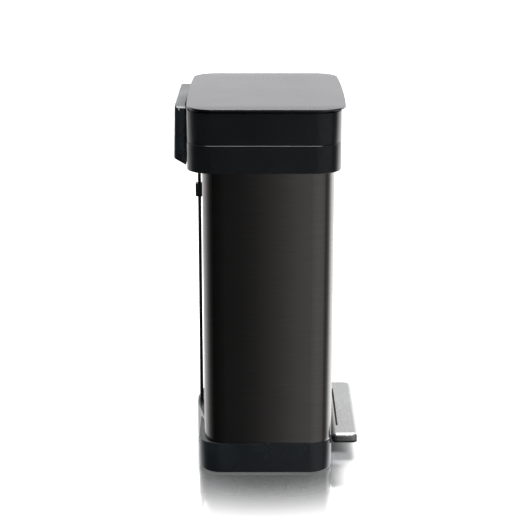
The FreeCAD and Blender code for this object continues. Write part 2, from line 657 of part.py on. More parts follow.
def base_shell():
    body = new_body("base_shell")
    half = "side+base_side_step"
    low = "front-base_front_step"
    pad(body, outline(body, "base_lift", half, low, "base_rear", "base_corner"),
        "base_height-base_lift")
    round_edges(body, "base_round", lambda p, e: near(p.z, "base_lift"))
    # rod housing: a shallow bulge behind the body
    bulge = [("-hump_half", "hump_start"), ("-hump_flat", "hump_rear"),
             ("hump_flat", "hump_rear"), ("hump_half", "hump_start")]
    pad(body, polygon(body, "XY_Plane", "hump_low", bulge), "hump_top-hump_low")
    round_edges(body, "hump_blend", lambda p, e: near(p.y, "hump_rear") and upright(e))
    round_edges(body, "hump_round", lambda p, e: near(p.z, "hump_top")
                and p.y > number("hump_start") + 1)
    # inside of the base, and of the housing under and above the deck
    inner = outline(body, "base_lift", f"{half}-base_wall", f"{low}+base_wall",
                    "base_rear-base_wall", "base_corner-base_wall")
    pocket(body, inner, "base_height-base_lift-base_wall", onwards=True)
    under = [("-(way_x)", "back-hump_wall"), ("-(way_x)", "way_y"),
             ("-hump_flat", "room_rear"), ("hump_flat", "room_rear"),
             ("way_x", "way_y"), ("way_x", "back-hump_wall")]
    pocket(body, polygon(body, "XY_Plane", "hump_low+hump_wall", under),
           "deck_low-hump_low-hump_wall", onwards=True)
    above = [("-(room_x)", "room_front"), ("-hump_flat", "room_rear"),
             ("hump_flat", "room_rear"), ("room_x", "room_front")]
    pocket(body, polygon(body, "XY_Plane", "deck_low", above),
           "hump_top-hump_wall-deck_low", onwards=True)
    pocket(body, circles(body, "XY_Plane", "hump_top", [("0", "rod_y")],
                         "rod_radius+rod_clearance"), "hump_wall+past")
    # rim that stands up inside the body
    rim = "(body_sheet+fit_gap)"
    pad(body, outline(body, "base_height", f"side-{rim}", f"front+{rim}", f"back-{rim}",
                      f"body_corner-({rim})"), "spigot_height")
    bore = "body_sheet+fit_gap+spigot_wall"
    pocket(body, outline(body, "base_height", f"side-({bore})", f"front+{bore}",
                         f"back-({bore})", f"body_corner-({bore})"),
           "spigot_height", onwards=True)
    # slot for the lever in the front wall
    slot = rectangle(body, "XZ_Plane", "-(front)-2*base_wall",
                     ("-(lever_half_front)-lever_room", "slot_low"),
                     ("lever_half_front+lever_room", "deck_low-past"))
    pocket(body, slot, "4*base_wall", onwards=True)
    # screw posts under the deck
    pad(body, circles(body, "XY_Plane", "plate_top", POSTS, "post_radius"),
        "deck_low-plate_top+weld")
    pocket(body, circles(body, "XY_Plane", "plate_top", POSTS, "screw_radius+screw_gap"),
           "pilot_depth", onwards=True)
    NODES.append(body)


def base_bottom_plate():
    body = new_body("base_bottom_plate")
    inset = "base_wall+fit_gap"
    pad(body, outline(body, "plate_lift", f"side+base_side_step-({inset})",
                      f"front-base_front_step+{inset}", f"base_rear-({inset})",
                      f"base_corner-({inset})"), "plate_thick")
    pocket(body, circles(body, "XY_Plane", "plate_top", POSTS, "screw_radius+screw_gap"),
           "plate_thick")
    NODES.append(body)


def foot_pads():
    pads = [cylinder(f"foot_pad_{i}", "pad_radius", "plate_lift", x, y, "0")
            for i, (x, y) in enumerate(PADS)]
    NODES.append(group("foot_pads", pads))


def base_screws():
    screws = [screw(f"base_screw_{i}", x, y, "plate_lift", "plate_thick+base_screw_bite", "+Z")
              for i, (x, y) in enumerate(POSTS)]
    NODES.append(group("base_screws", screws))


# ---- body, collar and bucket --------------------------------------------------------

GUIDE_HOLES = [("guide_screw_x", "guide_low+guide_height/2"),
               ("-guide_screw_x", "guide_low+guide_height/2")]


def body_shell():
    body = new_body("body_shell")
    pad(body, outline(body, "base_height", "side", "front", "back", "body_corner"),
        "body_length")
    pocket(body, outline(body, "base_height", "side-body_sheet", "front+body_sheet",
                         "back-body_sheet", "body_corner-body_sheet"),
           "body_length", onwards=True)
    holes = circles(body, "XZ_Plane", "-(back)", GUIDE_HOLES, "screw_radius+screw_gap")
    pocket(body, holes, "guide_screw_length", middle=True)
    NODES.append(body)


COVER_SCREWS = [("cover_screw_out", "seam_z-cover_screw_drop"),
                ("-cover_screw_out", "seam_z-cover_screw_drop"),
                ("cover_screw_in", "seam_z-cover_screw_drop"),
                ("-cover_screw_in", "seam_z-cover_screw_drop")]


def collar():
    body = new_body("collar")
    pad(body, outline(body, "collar_low", "collar_side", "collar_front", "collar_rear",
                      "collar_corner"), "collar_height")
    round_edges(body, "collar_bevel", lambda p, e: near(p.z, "collar_top"), bevel=True)
    round_edges(body, "collar_bevel", lambda p, e: near(p.z, "collar_low"))
    # the body's top edge goes up inside
    gap = "fit_gap"
    pocket(body, outline(body, "collar_low", f"side+{gap}", f"front-{gap}", f"back+{gap}",
                         f"body_corner+{gap}"),
           "collar_height-collar_flange", onwards=True)
    # room between the outer wall and the body, closed below by a return
    pocket(body, outline(body, "collar_low+collar_wall", "collar_side-collar_wall",
                         "collar_front+collar_wall", "collar_rear-collar_wall",
                         "collar_corner-collar_wall"),
           "collar_height-collar_wall-collar_flange", onwards=True)
    inner = "body_sheet+fit_gap"
    pad(body, outline(body, "flange_low-lip_depth", f"side-({inner})", f"front+{inner}",
                      f"back-({inner})", f"body_corner-({inner})"), "lip_depth+weld")
    pocket(body, outline(body, "flange_low-lip_depth", f"side-({inner})-lip_wall",
                         f"front+{inner}+lip_wall", f"back-({inner})-lip_wall",
                         f"body_corner-({inner})-lip_wall"), "lip_depth", onwards=True)
    pocket(body, outline(body, "collar_top", "mouth_x", "-(mouth_y)", "mouth_y",
                         "mouth_corner"), "collar_flange+past")
    # ways for the rod through the flange, and for rod and guide arm through the return
    way = "rod_radius+rod_way"
    pocket(body, rectangle(body, "XY_Plane", "collar_top",
                           (f"-({way})", f"rod_y-({way})"), (way, f"rod_y+{way}")),
           "collar_flange+past")
    pocket(body, rectangle(body, "XY_Plane", "collar_low",
                           ("-guide_half-past", "rod_y-strap_way"),
                           ("guide_half+past", f"rod_y+{way}")),
           "collar_wall+past", onwards=True)
    pocket(body, circles(body, "XZ_Plane", "-(collar_rear)", COVER_SCREWS,
                         "screw_radius+screw_gap"), "2*cover_screw_bite", middle=True)
    NODES.append(body)


def inner_bucket():
    body = new_body("inner_bucket")
    low = ("bucket_x-bucket_taper_side", "bucket_y-bucket_taper_end")
    corner = "mouth_corner-bucket_gap"
    foot = outline(body, "bucket_low", low[0], f"-({low[1]})", low[1],
                   f"{corner}-bucket_foot_corner")
    top = outline(body, "collar_top", "bucket_x", "-(bucket_y)", "bucket_y", corner)
    loft(body, [foot, top])
    pad(body, outline(body, "collar_top", "bucket_x+rim_reach", "-(bucket_y)-rim_reach",
                      "bucket_y+rim_reach", f"{corner}+rim_reach"), "rim_thick")
    round_edges(body, "rim_round", lambda p, e: near(p.z, "collar_top+rim_thick"))
    wall = "bucket_wall"
    inner_foot = outline(body, f"bucket_low+{wall}", f"{low[0]}-{wall}",
                         f"-({low[1]})+{wall}", f"{low[1]}-{wall}",
                         f"{corner}-bucket_foot_corner-{wall}")
    inner_top = outline(body, "collar_top+rim_thick", f"bucket_x-{wall}",
                        f"-(bucket_y)+{wall}", f"bucket_y-{wall}", f"{corner}-{wall}")
    before = body.Shape.Volume
    loft(body, [inner_foot, inner_top], cut=True)
    if body.Shape.Volume > before / 2:
        raise RuntimeError("inner_bucket: not hollowed")
    top_z = "collar_top-grip_drop"
    grip = rectangle(body, "YZ_Plane", "0", ("-grip_width/2", f"{top_z}-grip_height"),
                     ("grip_width/2", top_z))
    pocket(body, grip, "body_width", middle=True)
    round_edges(body, "grip_height/2-past", lambda p, e: near(abs(p.y), "grip_width/2")
                and e.Length < number("bucket_wall") * 1.5)
    NODES.append(body)


# ---- rod guide and hinge box --------------------------------------------------------

def rod_guide():
    body = new_body("rod_guide")
    low = "guide_low"
    high = "guide_low+guide_height"
    start = "back+seat_gap"
    pad(body, rectangle(body, "YZ_Plane", "0", (start, low), ("back+guide_reach", high)),
        "2*guide_half", middle=True)
    round_edges(body, "guide_round", lambda p, e: near(p.y, "back+guide_reach") and upright(e))
    pad(body, rectangle(body, "YZ_Plane", "0", (start, f"{low}+guide_ear_inset"),
                        ("back+guide_ear", f"{high}-guide_ear_inset")),
        "guide_ear_span", middle=True)
    strap = "rod_y-rod_radius-strap_gap"
    pad(body, rectangle(body, "YZ_Plane", "0", (strap, f"{high}-strap_root"),
                        (f"{strap}+strap_thick", "collar_low+strap_rise")),
        "strap_width", middle=True)
    pocket(body, circles(body, "XY_Plane", f"{high}+past", [("0", "rod_y")],
                         "rod_radius+rod_clearance"), "guide_height+2*past")
    pocket(body, circles(body, "XZ_Plane", "-(back)", GUIDE_HOLES, "screw_radius+screw_gap"),
           "2*guide_screw_length", middle=True)
    NODES.append(body)


def guide_screws():
    screws = [screw(f"guide_screw_{i}", x, "back+guide_ear", z, "guide_screw_length", "-Y")
              for i, (x, z) in enumerate(GUIDE_HOLES)]
    NODES.append(group("guide_screws", screws))


def arm_slots(body, low, high):
    """Slots in the front of a cover where the goose-neck arms come through"""
    for middle in ("arm_place", "-arm_place"):
        slot = rectangle(body, "XZ_Plane", "-(box_front)-box_wall/2",
                         (f"{middle}-arm_width/2-arm_room", low),
                         (f"{middle}+arm_width/2+arm_room", high))
        pocket(body, slot, "4*box_wall", middle=True)


def rear_corner(middle, edge):
    """The two upright edges at the back of the hinge box"""
    return middle.y > number("box_front+box_depth/2") and upright(edge) and \
        edge.Length > number("box_edge_least") and \
        abs(middle.x) > number("box_width/2-past")


def hinge_cover_upper():
    body = new_body("hinge_cover_upper")
    low = "seam_z+box_seam/2"
    profile = [("box_front", low), ("box_back+box_slant*box_lean", low),
               ("box_back", "box_top"), ("box_front", "box_top")]
    pad(body, polygon(body, "YZ_Plane", "0", profile), "box_width", middle=True)
    round_edges(body, "box_corner", rear_corner)
    for sign in ("", "-"):
        bevel = [(f"{sign}(box_width/2+past)", "box_top-box_end-past"),
                 (f"{sign}(box_width/2+past)", "box_top+past"),
                 (f"{sign}(box_width/2-box_end-past)", "box_top+past")]
        pocket(body, polygon(body, "XZ_Plane", "-(box_back+past)", bevel),
               "box_depth+2*past", onwards=True)
    round_edges(body, "box_round", lambda p, e: near(p.z, "box_top")
                and e.Length > number("box_width/2"))
    hollow(body, "box_wall", lambda f: near(f.BoundBox.ZMax, low))
    arm_slots(body, f"{low}-past", "box_top-box_wall-slot_under")
    pocket(body, circles(body, "YZ_Plane", "0", [("pin_y", "pin_z")],
                         "pin_radius+pin_clearance"), "box_width+4*past", middle=True)
    NODES.append(body)


def hinge_cover_lower():
    body = new_body("hinge_cover_lower")
    high = "seam_z-box_seam/2"
    foot = "seam_z-box_drop"
    profile = [("box_front", f"{foot}-box_slope"), ("box_back+box_slant", foot),
               ("box_back+box_slant*box_lean", high), ("box_front", high)]
    pad(body, polygon(body, "YZ_Plane", "0", profile), "box_width", middle=True)
    round_edges(body, "box_corner", rear_corner)
    hollow(body, "box_wall", lambda f: near(f.BoundBox.ZMin, high))
    # feet that hold the box off the collar
    pad(body, circles(body, "XZ_Plane", "-(collar_rear)", COVER_SCREWS, "cover_foot"),
        "box_gap+box_wall/2", back=True)
    pocket(body, circles(body, "XZ_Plane", "-(collar_rear)", COVER_SCREWS,
                         "screw_radius+screw_gap"), "4*cover_screw_bite", middle=True)
    NODES.append(body)


EAR_PLACES = ["arm_place-arm_width/2-ear_gap", "arm_place+arm_width/2+ear_gap-ear_sheet",
              "-arm_place-arm_width/2-ear_gap",
              "-arm_place+arm_width/2+ear_gap-ear_sheet"]


def hinge_bracket():
    body = new_body("hinge_bracket")
    start = "box_front+box_wall+2*seat_gap"
    pad(body, rectangle(body, "YZ_Plane", "0", (start, "seam_z-bracket_below"),
                        (f"{start}+ear_sheet", "seam_z+bracket_above")),
        "2*bracket_half", middle=True)
    ear = [(start, "seam_z-ear_below"), (start, "pin_z-ear_root"),
           ("pin_y-ear_half", "pin_z-ear_shoulder"), ("pin_y-ear_half", "pin_z+ear_half"),
           ("pin_y+ear_half", "pin_z+ear_half"), ("pin_y+ear_half", "seam_z-ear_below")]
    for place in EAR_PLACES:
        pad(body, polygon(body, "YZ_Plane", place, ear), "ear_sheet")
    pocket(body, circles(body, "YZ_Plane", "0", [("pin_y", "pin_z")],
                         "pin_radius+pin_clearance"), "box_width", middle=True)
    pocket(body, circles(body, "XZ_Plane", f"-({start})", COVER_SCREWS,
                         "screw_radius+screw_gap"), "4*ear_sheet", middle=True)
    NODES.append(body)


def cover_screws():
    head = "box_front+box_wall+2*seat_gap+ear_sheet"
    length = "box_gap+box_wall+ear_sheet+cover_screw_bite"
    screws = [screw(f"cover_screw_{i}", x, head, z, length, "-Y")
              for i, (x, z) in enumerate(COVER_SCREWS)]
    NODES.append(group("cover_screws", screws))


def hinge_pin():
    pin = cylinder("hinge_pin", "pin_radius", "box_width+2*pin_proud", "-box_width/2-pin_proud",
                   "pin_y", "pin_z", "X")
    NODES.append(pin)


# ---- lid ----------------------------------------------------------------------------

LINER_SCREWS = [("post_x+liner_screw_out", "front+liner_screw_front"),
                ("-post_x-liner_screw_out", "front+liner_screw_front"),
                ("post_x+liner_screw_out", "back-liner_screw_rear"),
                ("-post_x-liner_screw_out", "back-liner_screw_rear")]
ARM_SCREWS = [("arm_place", "back+arm_screw_front"), ("arm_place", "back+arm_screw_rear"),
              ("-arm_place", "back+arm_screw_front"), ("-arm_place", "back+arm_screw_rear")]
CRANK_SCREWS = [("0", "crank_y-crank_screw_front"), ("0", "crank_y-crank_screw_rear")]


def lid_skirt():
    body = new_body("lid_skirt")
    wall = "skirt_wall"
    pad(body, outline(body, "lid_low", "collar_side", "collar_front", "collar_rear",
                      "collar_corner"), "skirt_height")
    round_edges(body, "skirt_bevel", lambda p, e: near(p.z, "skirt_top"))
    pocket(body, outline(body, "lid_low", f"collar_side-{wall}", f"collar_front+{wall}",
                         f"collar_rear-{wall}", f"collar_corner-{wall}"),
           "skirt_height-skirt_wall", onwards=True)
    neck = "neck_inset"
    pad(body, outline(body, "skirt_top", f"collar_side-{neck}", f"collar_front+{neck}",
                      f"collar_rear-{neck}", f"collar_corner-{neck}"),
        "neck_height+top_edge-top_sheet-seat_gap")
    rim = "(top_sheet+top_fit)"
    pad(body, outline(body, "neck_top", f"top_x-{rim}", f"top_front+{rim}+top_bow",
                      f"top_rear-({rim})-top_bow", f"top_corner-({rim})"),
        "top_edge-top_sheet-seat_gap")
    # the web is thinned under the plate
    pocket(body, outline(body, "web_low", "collar_side-thin_side", "front+thin_front",
                         "back-thin_rear", "mouth_corner"), "skirt_wall+neck_height",
           onwards=True)
    # notches in the rear wall for the goose-neck arms and for the rod
    for middle in ("arm_place", "-arm_place"):
        notch = rectangle(body, "XZ_Plane", "-(collar_rear)+skirt_wall/2",
                          (f"{middle}-arm_width/2-arm_room", "lid_low-past"),
                          (f"{middle}+arm_width/2+arm_room", "neck_low+arm_neck+arm_room"))
        pocket(body, notch, "4*skirt_wall", middle=True)
    notch = rectangle(body, "XZ_Plane", "-(collar_rear)+skirt_wall/2",
                      ("-(cheek_x)-cheek_sheet-arm_room", "lid_low-past"),
                      ("cheek_x+cheek_sheet+arm_room", "pin_z+2*past"))
    pocket(body, notch, "4*skirt_wall", middle=True)
    bosses = [("bumper_x", "bumper_y"), ("-(bumper_x)", "bumper_y")]
    pad(body, circles(body, "XY_Plane", "lid_low+bumper_height", bosses, "bumper_radius"),
        "skirt_height-skirt_wall-bumper_height+weld")
    pocket(body, circles(body, "XY_Plane", "web_low", LINER_SCREWS + ARM_SCREWS + CRANK_SCREWS,
                         "screw_radius+screw_gap"), "skirt_wall", onwards=True)
    NODES.append(body)


def lid_top_plate():
    body = new_body("lid_top_plate")
    pad(body, bowed_outline(body, "neck_top", "top_x", "top_front", "top_rear", "top_corner",
                            "top_bow"), "top_edge")
    round_edges(body, "top_round", lambda p, e: near(p.z, "top_top"))
    edge = "top_sheet"
    pocket(body, bowed_outline(body, "neck_top", f"top_x-{edge}", f"top_front+{edge}",
                               f"top_rear-{edge}", f"top_corner-{edge}", "top_bow"),
           "top_edge-top_sheet", onwards=True)
    NODES.append(body)


def lid_liner():
    body = new_body("lid_liner")
    low = "web_low-liner_height"
    shape = ("collar_side-liner_side", "front+liner_front", "back-liner_rear", "mouth_corner")
    pad(body, outline(body, low, *shape), "liner_height")
    round_edges(body, "liner_round", lambda p, e: near(p.z, low))
    wall = "liner_wall"
    pocket(body, outline(body, f"{low}+{wall}", f"{shape[0]}-{wall}", f"{shape[1]}+{wall}",
                         f"{shape[2]}-{wall}", f"{shape[3]}-{wall}"), "liner_height",
           onwards=True)
    pad(body, circles(body, "XY_Plane", f"{low}+{wall}/2", LINER_SCREWS, "post_radius"),
        f"liner_height-{wall}/2")
    pocket(body, circles(body, "XY_Plane", f"{low}-past", LINER_SCREWS,
                         "screw_radius+screw_gap"), "liner_height+2*past", onwards=True)
    NODES.append(body)


def lid_bumpers():
    bumpers = [cylinder(f"lid_bumper_{i}", "bumper_radius", "bumper_height", x, "bumper_y",
                        "lid_low") for i, x in enumerate(("bumper_x", "-(bumper_x)"))]
    NODES.append(group("lid_bumpers", bumpers))


def lid_screws():
    low = "web_low-liner_height"
    screws = [screw(f"liner_screw_{i}", x, y, low, "liner_height+liner_screw_bite", "+Z")
              for i, (x, y) in enumerate(LINER_SCREWS)]
    screws += [screw(f"arm_screw_{i}", x, y, "web_low-arm_foot", "arm_foot+arm_screw_bite", "+Z")
               for i, (x, y) in enumerate(ARM_SCREWS)]
    crank_length = "cheek_sheet+crank_screw_bite"
    screws += [screw(f"crank_screw_{i}", x, y, "web_low-cheek_sheet", crank_length, "+Z")
               for i, (x, y) in enumerate(CRANK_SCREWS)]
    NODES.append(group("lid_screws", screws))


def lid_hinge_arm(label, middle):
    """Goose-neck arm: foot under the lid, down, back through the notches, up to the pin"""
    body = new_body(label)
    start = f"{middle}-arm_width/2"
    rise = "collar_rear-skirt_wall-arm_foot_back"
    neck_top = "neck_low+arm_neck"
    profile = [("back-arm_foot_front", "web_low"), ("back-arm_foot_front", "web_low-arm_foot"),
               (rise, "web_low-arm_foot"), (rise, "neck_low"),
               ("pin_y+arm_stem_back", "neck_low"), ("pin_y+arm_stem_back", "pin_z"),
               ("pin_y-arm_stem_front", "pin_z"), ("pin_y-arm_stem_front", neck_top),
               (f"{rise}+arm_leg", neck_top), (f"{rise}+arm_leg", "web_low")]
    pad(body, polygon(body, "YZ_Plane", start, profile), "arm_width")
    pad(body, circles(body, "YZ_Plane", start, [("pin_y", "pin_z")], "eye_radius"), "arm_width")
    pocket(body, circles(body, "YZ_Plane", start, [("pin_y", "pin_z")],
                         "pin_radius+pin_clearance"), "arm_width", onwards=True)
    pocket(body, circles(body, "XY_Plane", "web_low", [s for s in ARM_SCREWS if s[0] == middle],
                         "screw_radius+screw_gap"), "arm_foot+past")
    NODES.append(body)


def lid_crank():
    body = new_body("lid_crank")
    front = "crank_y-cheek_front"
    rear = "collar_rear-skirt_wall-cheek_back"
    width = "2*(cheek_x)+2*cheek_sheet"
    cheek = [(front, "web_low"), (front, "crank_z+cheek_root"),
             ("crank_y-cheek_low_front", "crank_z-cheek_low"),
             ("crank_y+cheek_low_rear", "crank_z-cheek_low"),
             (rear, "crank_z+cheek_rise"), (rear, "web_low")]
    pad(body, polygon(body, "YZ_Plane", "0", cheek), width, middle=True)
    between = rectangle(body, "YZ_Plane", "0", (f"{front}-past", "crank_z-cheek_low-past"),
                        (f"{rear}+past", "web_low-cheek_sheet"))
    pocket(body, between, "2*(cheek_x)", middle=True)
    pocket(body, circles(body, "YZ_Plane", "0", [("crank_y", "crank_z")], "crank_pin_radius"),
           width, middle=True)
    pocket(body, circles(body, "XY_Plane", "web_low", CRANK_SCREWS, "screw_radius+screw_gap"),
           "cheek_sheet+past")
    NODES.append(body)


def crank_pin():
    reach = "cheek_x+cheek_sheet+crank_pin_proud"
    pin = cylinder("crank_pin", "crank_pin_radius", f"2*({reach})", f"-({reach})", "crank_y",
                   "crank_z", "X")
    NODES.append(pin)


# ---- lift rod -----------------------------------------------------------------------

def lift_rod():
    rod = cylinder("lift_rod", "rod_radius", "yoke_low+rod_in_head-(shoe_low)-rod_in_foot",
                   "0", "rod_y", "shoe_low+rod_in_foot")
    NODES.append(rod)


def rod_head():
    body = new_body("rod_head")
    pad(body, rectangle(body, "YZ_Plane", "0", ("yoke_front", "yoke_low"),
                        ("yoke_rear", "yoke_top")), "2*yoke_half", middle=True)
    round_edges(body, "head_round", lambda p, e: near(p.x, "0")
                and near(e.Length, "2*yoke_half"))
    slot_low = "crank_z-crank_pin_radius-yoke_play"
    slot_high = "crank_z+crank_pin_radius+yoke_play"
    pocket(body, rectangle(body, "YZ_Plane", "0", ("yoke_front+slot_front_wall", slot_low),
                           ("yoke_rear-slot_rear_wall", slot_high)), "2*yoke_half", middle=True)
    pocket(body, circles(body, "XY_Plane", "yoke_low", [("0", "rod_y")], "rod_radius"),
           "rod_in_head", onwards=True)
    NODES.append(body)


def rod_foot():
    """Round-ended shoe pressed on the rod's lower end"""
    dome = doc.addObject("Part::Sphere", "rod_foot_dome")
    dome.setExpression("Radius", cells("foot_radius"))
    dome.setExpression("Placement.Base.y", cells("rod_y"))
    dome.setExpression("Placement.Base.z", cells("shoe_low+foot_radius"))
    barrel = cylinder("rod_foot_barrel", "foot_radius", "foot_length-foot_radius", "0", "rod_y",
                      "shoe_low+foot_radius")
    solid = joined("rod_foot_solid", [dome, barrel])
    bore = cylinder("rod_foot_bore", "rod_radius", "foot_length", "0", "rod_y",
                    "shoe_low+rod_in_foot")
    foot = doc.addObject("Part::Cut", "rod_foot")
    foot.Base = solid
    foot.Tool = bore
    NODES.append(foot)


# ---- pedal --------------------------------------------------------------------------

def pedal_block(body, low, high, inset):
    """Block in the pedal's plan: wide round corners in front, small ones behind"""
    half = f"pedal_width/2-({inset})"
    front = f"pedal_front+{inset}"
    rear = f"pedal_rear-({inset})"
    pad(body, rectangle(body, "XY_Plane", low, (f"-({half})", front), (half, rear)),
        f"{high}-({low})")
    round_edges(body, f"pedal_corner-({inset})", lambda p, e: upright(e) and near(p.y, front))
    round_edges(body, "pedal_rear_corner", lambda p, e: upright(e) and near(p.y, rear))


def pedal_plate():
    body = new_body("pedal_plate")
    low = "pedal_low"
    pedal_block(body, low, "pedal_top", "0")
    round_edges(body, "pedal_round", lambda p, e: near(p.z, "pedal_top")
                and p.y < number("pedal_rear") - 1)
    hollow(body, "pedal_sheet", lambda f: near(f.BoundBox.ZMax, low))
    way = "lever_half_front+lever_way"
    pocket(body, rectangle(body, "XZ_Plane", "-(pedal_rear)", (f"-({way})", f"{low}-past"),
                           (way, "pedal_under")), "2*(pedal_round+pedal_sheet)", middle=True)
    pocket(body, rectangle(body, "XY_Plane", "pedal_top", ("-grip_length/2", "grip_rear"),
                           ("grip_length/2", "grip_rear+grip_thick")), "pedal_sheet+past")
    NODES.append(body)


TRAY_SCREWS = [("tray_screw_in", "pedal_front+tray_screw_in_back"),
               ("-tray_screw_in", "pedal_front+tray_screw_in_back"),
               ("tray_screw_out", "pedal_front+tray_screw_out_back"),
               ("-tray_screw_out", "pedal_front+tray_screw_out_back")]


def pedal_tray():
    body = new_body("pedal_tray")
    low = "tray_low"
    high = "plate_seat"
    pedal_block(body, low, high, "pedal_sheet+tray_fit")
    round_edges(body, "pedal_round", lambda p, e: near(p.z, high)
                and p.y < number("pedal_rear-3*past"))
    hollow(body, "tray_wall", lambda f: near(f.BoundBox.ZMax, low))
    way = "lever_half_front+lever_way"
    pocket(body, rectangle(body, "XY_Plane", high, (f"-({way})", "pedal_front+lever_pocket"),
                           (way, "pedal_rear+past")), "lever_sheet+weld")
    pocket(body, rectangle(body, "XZ_Plane", "-(pedal_rear)", (f"-({way})", f"{high}-lever_door"),
                           (way, high)), "4*tray_wall", middle=True)
    pocket(body, rectangle(body, "XY_Plane", high, ("-grip_length/2-past", "grip_rear-past"),
                           ("grip_length/2+past", "grip_rear+grip_thick+past")), "tray_relief")
    pocket(body, circles(body, "XY_Plane", high, TRAY_SCREWS, "screw_radius+screw_gap"),
           "tray_wall+past")
    NODES.append(body)


def pedal_screws():
    screws = [screw(f"pedal_screw_{i}", x, y, "plate_seat-tray_wall", "tray_wall+seat_gap", "+Z")
              for i, (x, y) in enumerate(TRAY_SCREWS)]
    NODES.append(group("pedal_screws", screws))


def pedal_grip():
    body = new_body("pedal_grip")
    fit = "grip_fit"
    pad(body, rectangle(body, "XY_Plane", "pedal_under",
                        (f"-grip_length/2+{fit}", f"grip_rear+{fit}"),
                        (f"grip_length/2-{fit}", f"grip_rear+grip_thick-{fit}")),
        "pedal_sheet+grip_proud")
    round_edges(body, "grip_round", lambda p, e: near(p.z, "pedal_top+grip_proud"))
    flange = "grip_flange"
    pad(body, rectangle(body, "XY_Plane", "pedal_under-grip_flange_thick",
                        (f"-grip_length/2-{flange}", f"grip_rear-{flange}"),
                        (f"grip_length/2+{flange}", f"grip_rear+grip_thick+{flange}")),
        "grip_flange_thick")
    gap = "lever_half_front+lever_way"
    pocket(body, rectangle(body, "XY_Plane", "pedal_under", (f"-({gap})", "grip_rear-past"),
                           (gap, "grip_rear+grip_thick+past")), "2*grip_flange_thick")
    NODES.append(body)


def pedal_lever():
    body = new_body("pedal_lever")
    top = "plate_seat"
    split_y = "axle_y+lever_split"
    split_z = f"knee_z-lever_slope*({split_y}-knee_y)"
    tip = "pedal_front+lever_inset"
    bend = "pedal_rear-lever_bend"
    front = [(tip, top), (tip, f"{top}-lever_sheet"), (bend, f"{top}-lever_sheet"),
             ("knee_y", "knee_z-lever_sheet"), (split_y, f"{split_z}-lever_sheet"),
             (split_y, split_z), ("knee_y", "knee_z"), (bend, top)]
    rear = [(split_y, split_z), (split_y, f"{split_z}-lever_sheet"),
            ("bend_y", "lever_nose-lever_sheet"), ("lever_end", "lever_nose-lever_sheet"),
            ("lever_end", "lever_nose"), ("bend_y", "lever_nose")]
    pad(body, polygon(body, "YZ_Plane", "0", front), "2*lever_half_front", middle=True)
    pad(body, polygon(body, "YZ_Plane", "0", rear), "2*lever_half_rear", middle=True)
    low = "axle_height-lever_ear_drop"
    under = "lever_at_axle-lever_sheet+weld"
    ear = [("axle_y-lever_ear_front", f"{under}+lever_slope*lever_ear_front"),
           ("axle_y-lever_ear_low_front", low), ("axle_y+lever_ear_back", low),
           ("axle_y+lever_ear_back", f"{under}-lever_slope*lever_ear_back")]
    for place in ("ear_place", "-ear_place-lever_sheet"):
        pad(body, polygon(body, "YZ_Plane", place, ear), "lever_sheet")
    pocket(body, circles(body, "YZ_Plane", "0", [("axle_y", "axle_height")], "bush_radius"),
           "4*ear_place", middle=True)
    NODES.append(body)


def axle_bushes():
    """Flanged plastic bushes pressed into the lever's ears"""
    bushes = []
    bore = "axle_radius+pin_clearance"
    for i, place in enumerate(("ear_place-bush_collar", "-ear_place-lever_sheet-bush_collar")):
        bush = new_body(f"axle_bush_{i}")
        pad(bush, circles(bush, "YZ_Plane", place, [("axle_y", "axle_height")], "bush_radius"),
            "lever_sheet+2*bush_collar")
        collar_place = f"{place}+lever_sheet+bush_collar" if i == 0 else place
        pad(bush, circles(bush, "YZ_Plane", collar_place, [("axle_y", "axle_height")],
                          "bush_radius+bush_flange"), "bush_collar")
        pocket(bush, circles(bush, "YZ_Plane", "0", [("axle_y", "axle_height")], bore),
               "4*ear_place", middle=True)
        bushes.append(bush)
    NODES.append(group("axle_bushes", bushes))


def lever_axle():
    NODES.append(cylinder("lever_axle", "axle_radius", "2*axle_half", "-axle_half", "axle_y",
                          "axle_height", "X"))


def axle_clips():
    clips = []
    for i, place in enumerate(("saddle_place+saddle_width+clip_gap",
                               "-saddle_place-saddle_width-clip_gap-clip_thick")):
        ring = cylinder(f"clip_disc_{i}", "axle_radius+clip_reach", "clip_thick", place,
                        "axle_y", "axle_height", "X")
        hole = cylinder(f"clip_hole_{i}", "axle_radius", "clip_thick", place, "axle_y",
                        "axle_height", "X")
        clip = doc.addObject("Part::Cut", f"axle_clip_{i}")
        clip.Base = ring
        clip.Tool = hole
        clips.append(clip)
    NODES.append(group("axle_clips", clips))


def axle_saddle(label, start):
    body = new_body(label)
    shoulder = "axle_height+saddle_shoulder_rise"
    profile = [("axle_y-saddle_foot", "plate_top"), ("axle_y+saddle_foot", "plate_top"),
               ("axle_y+saddle_shoulder", shoulder),
               ("axle_y+saddle_crown", "axle_height+saddle_rise"),
               ("axle_y-saddle_crown", "axle_height+saddle_rise"),
               ("axle_y-saddle_shoulder", shoulder)]
    pad(body, polygon(body, "YZ_Plane", start, profile), "saddle_width")
    pocket(body, circles(body, "YZ_Plane", "0", [("axle_y", "axle_height")], "axle_radius"),
           "4*axle_half", middle=True)
    NODES.append(body)


# ---- build, check and write ---------------------------------------------------------

base_shell()
base_bottom_plate()
foot_pads()
base_screws()
body_shell()
collar()
inner_bucket()
rod_guide()
guide_screws()
hinge_cover_upper()
hinge_cover_lower()
hinge_bracket()
cover_screws()
hinge_pin()
lid_skirt()
lid_top_plate()
lid_liner()
lid_bumpers()
lid_screws()
lid_hinge_arm("lid_hinge_arm_left", "-arm_place")
lid_hinge_arm("lid_hinge_arm_right", "arm_place")
lid_crank()
crank_pin()
lift_rod()
rod_head()
rod_foot()
pedal_plate()
pedal_tray()
pedal_screws()
pedal_grip()
pedal_lever()
axle_bushes()
lever_axle()
axle_clips()
axle_saddle("axle_saddle_left", "-saddle_place-saddle_width")
axle_saddle("axle_saddle_right", "saddle_place")
doc.recompute()

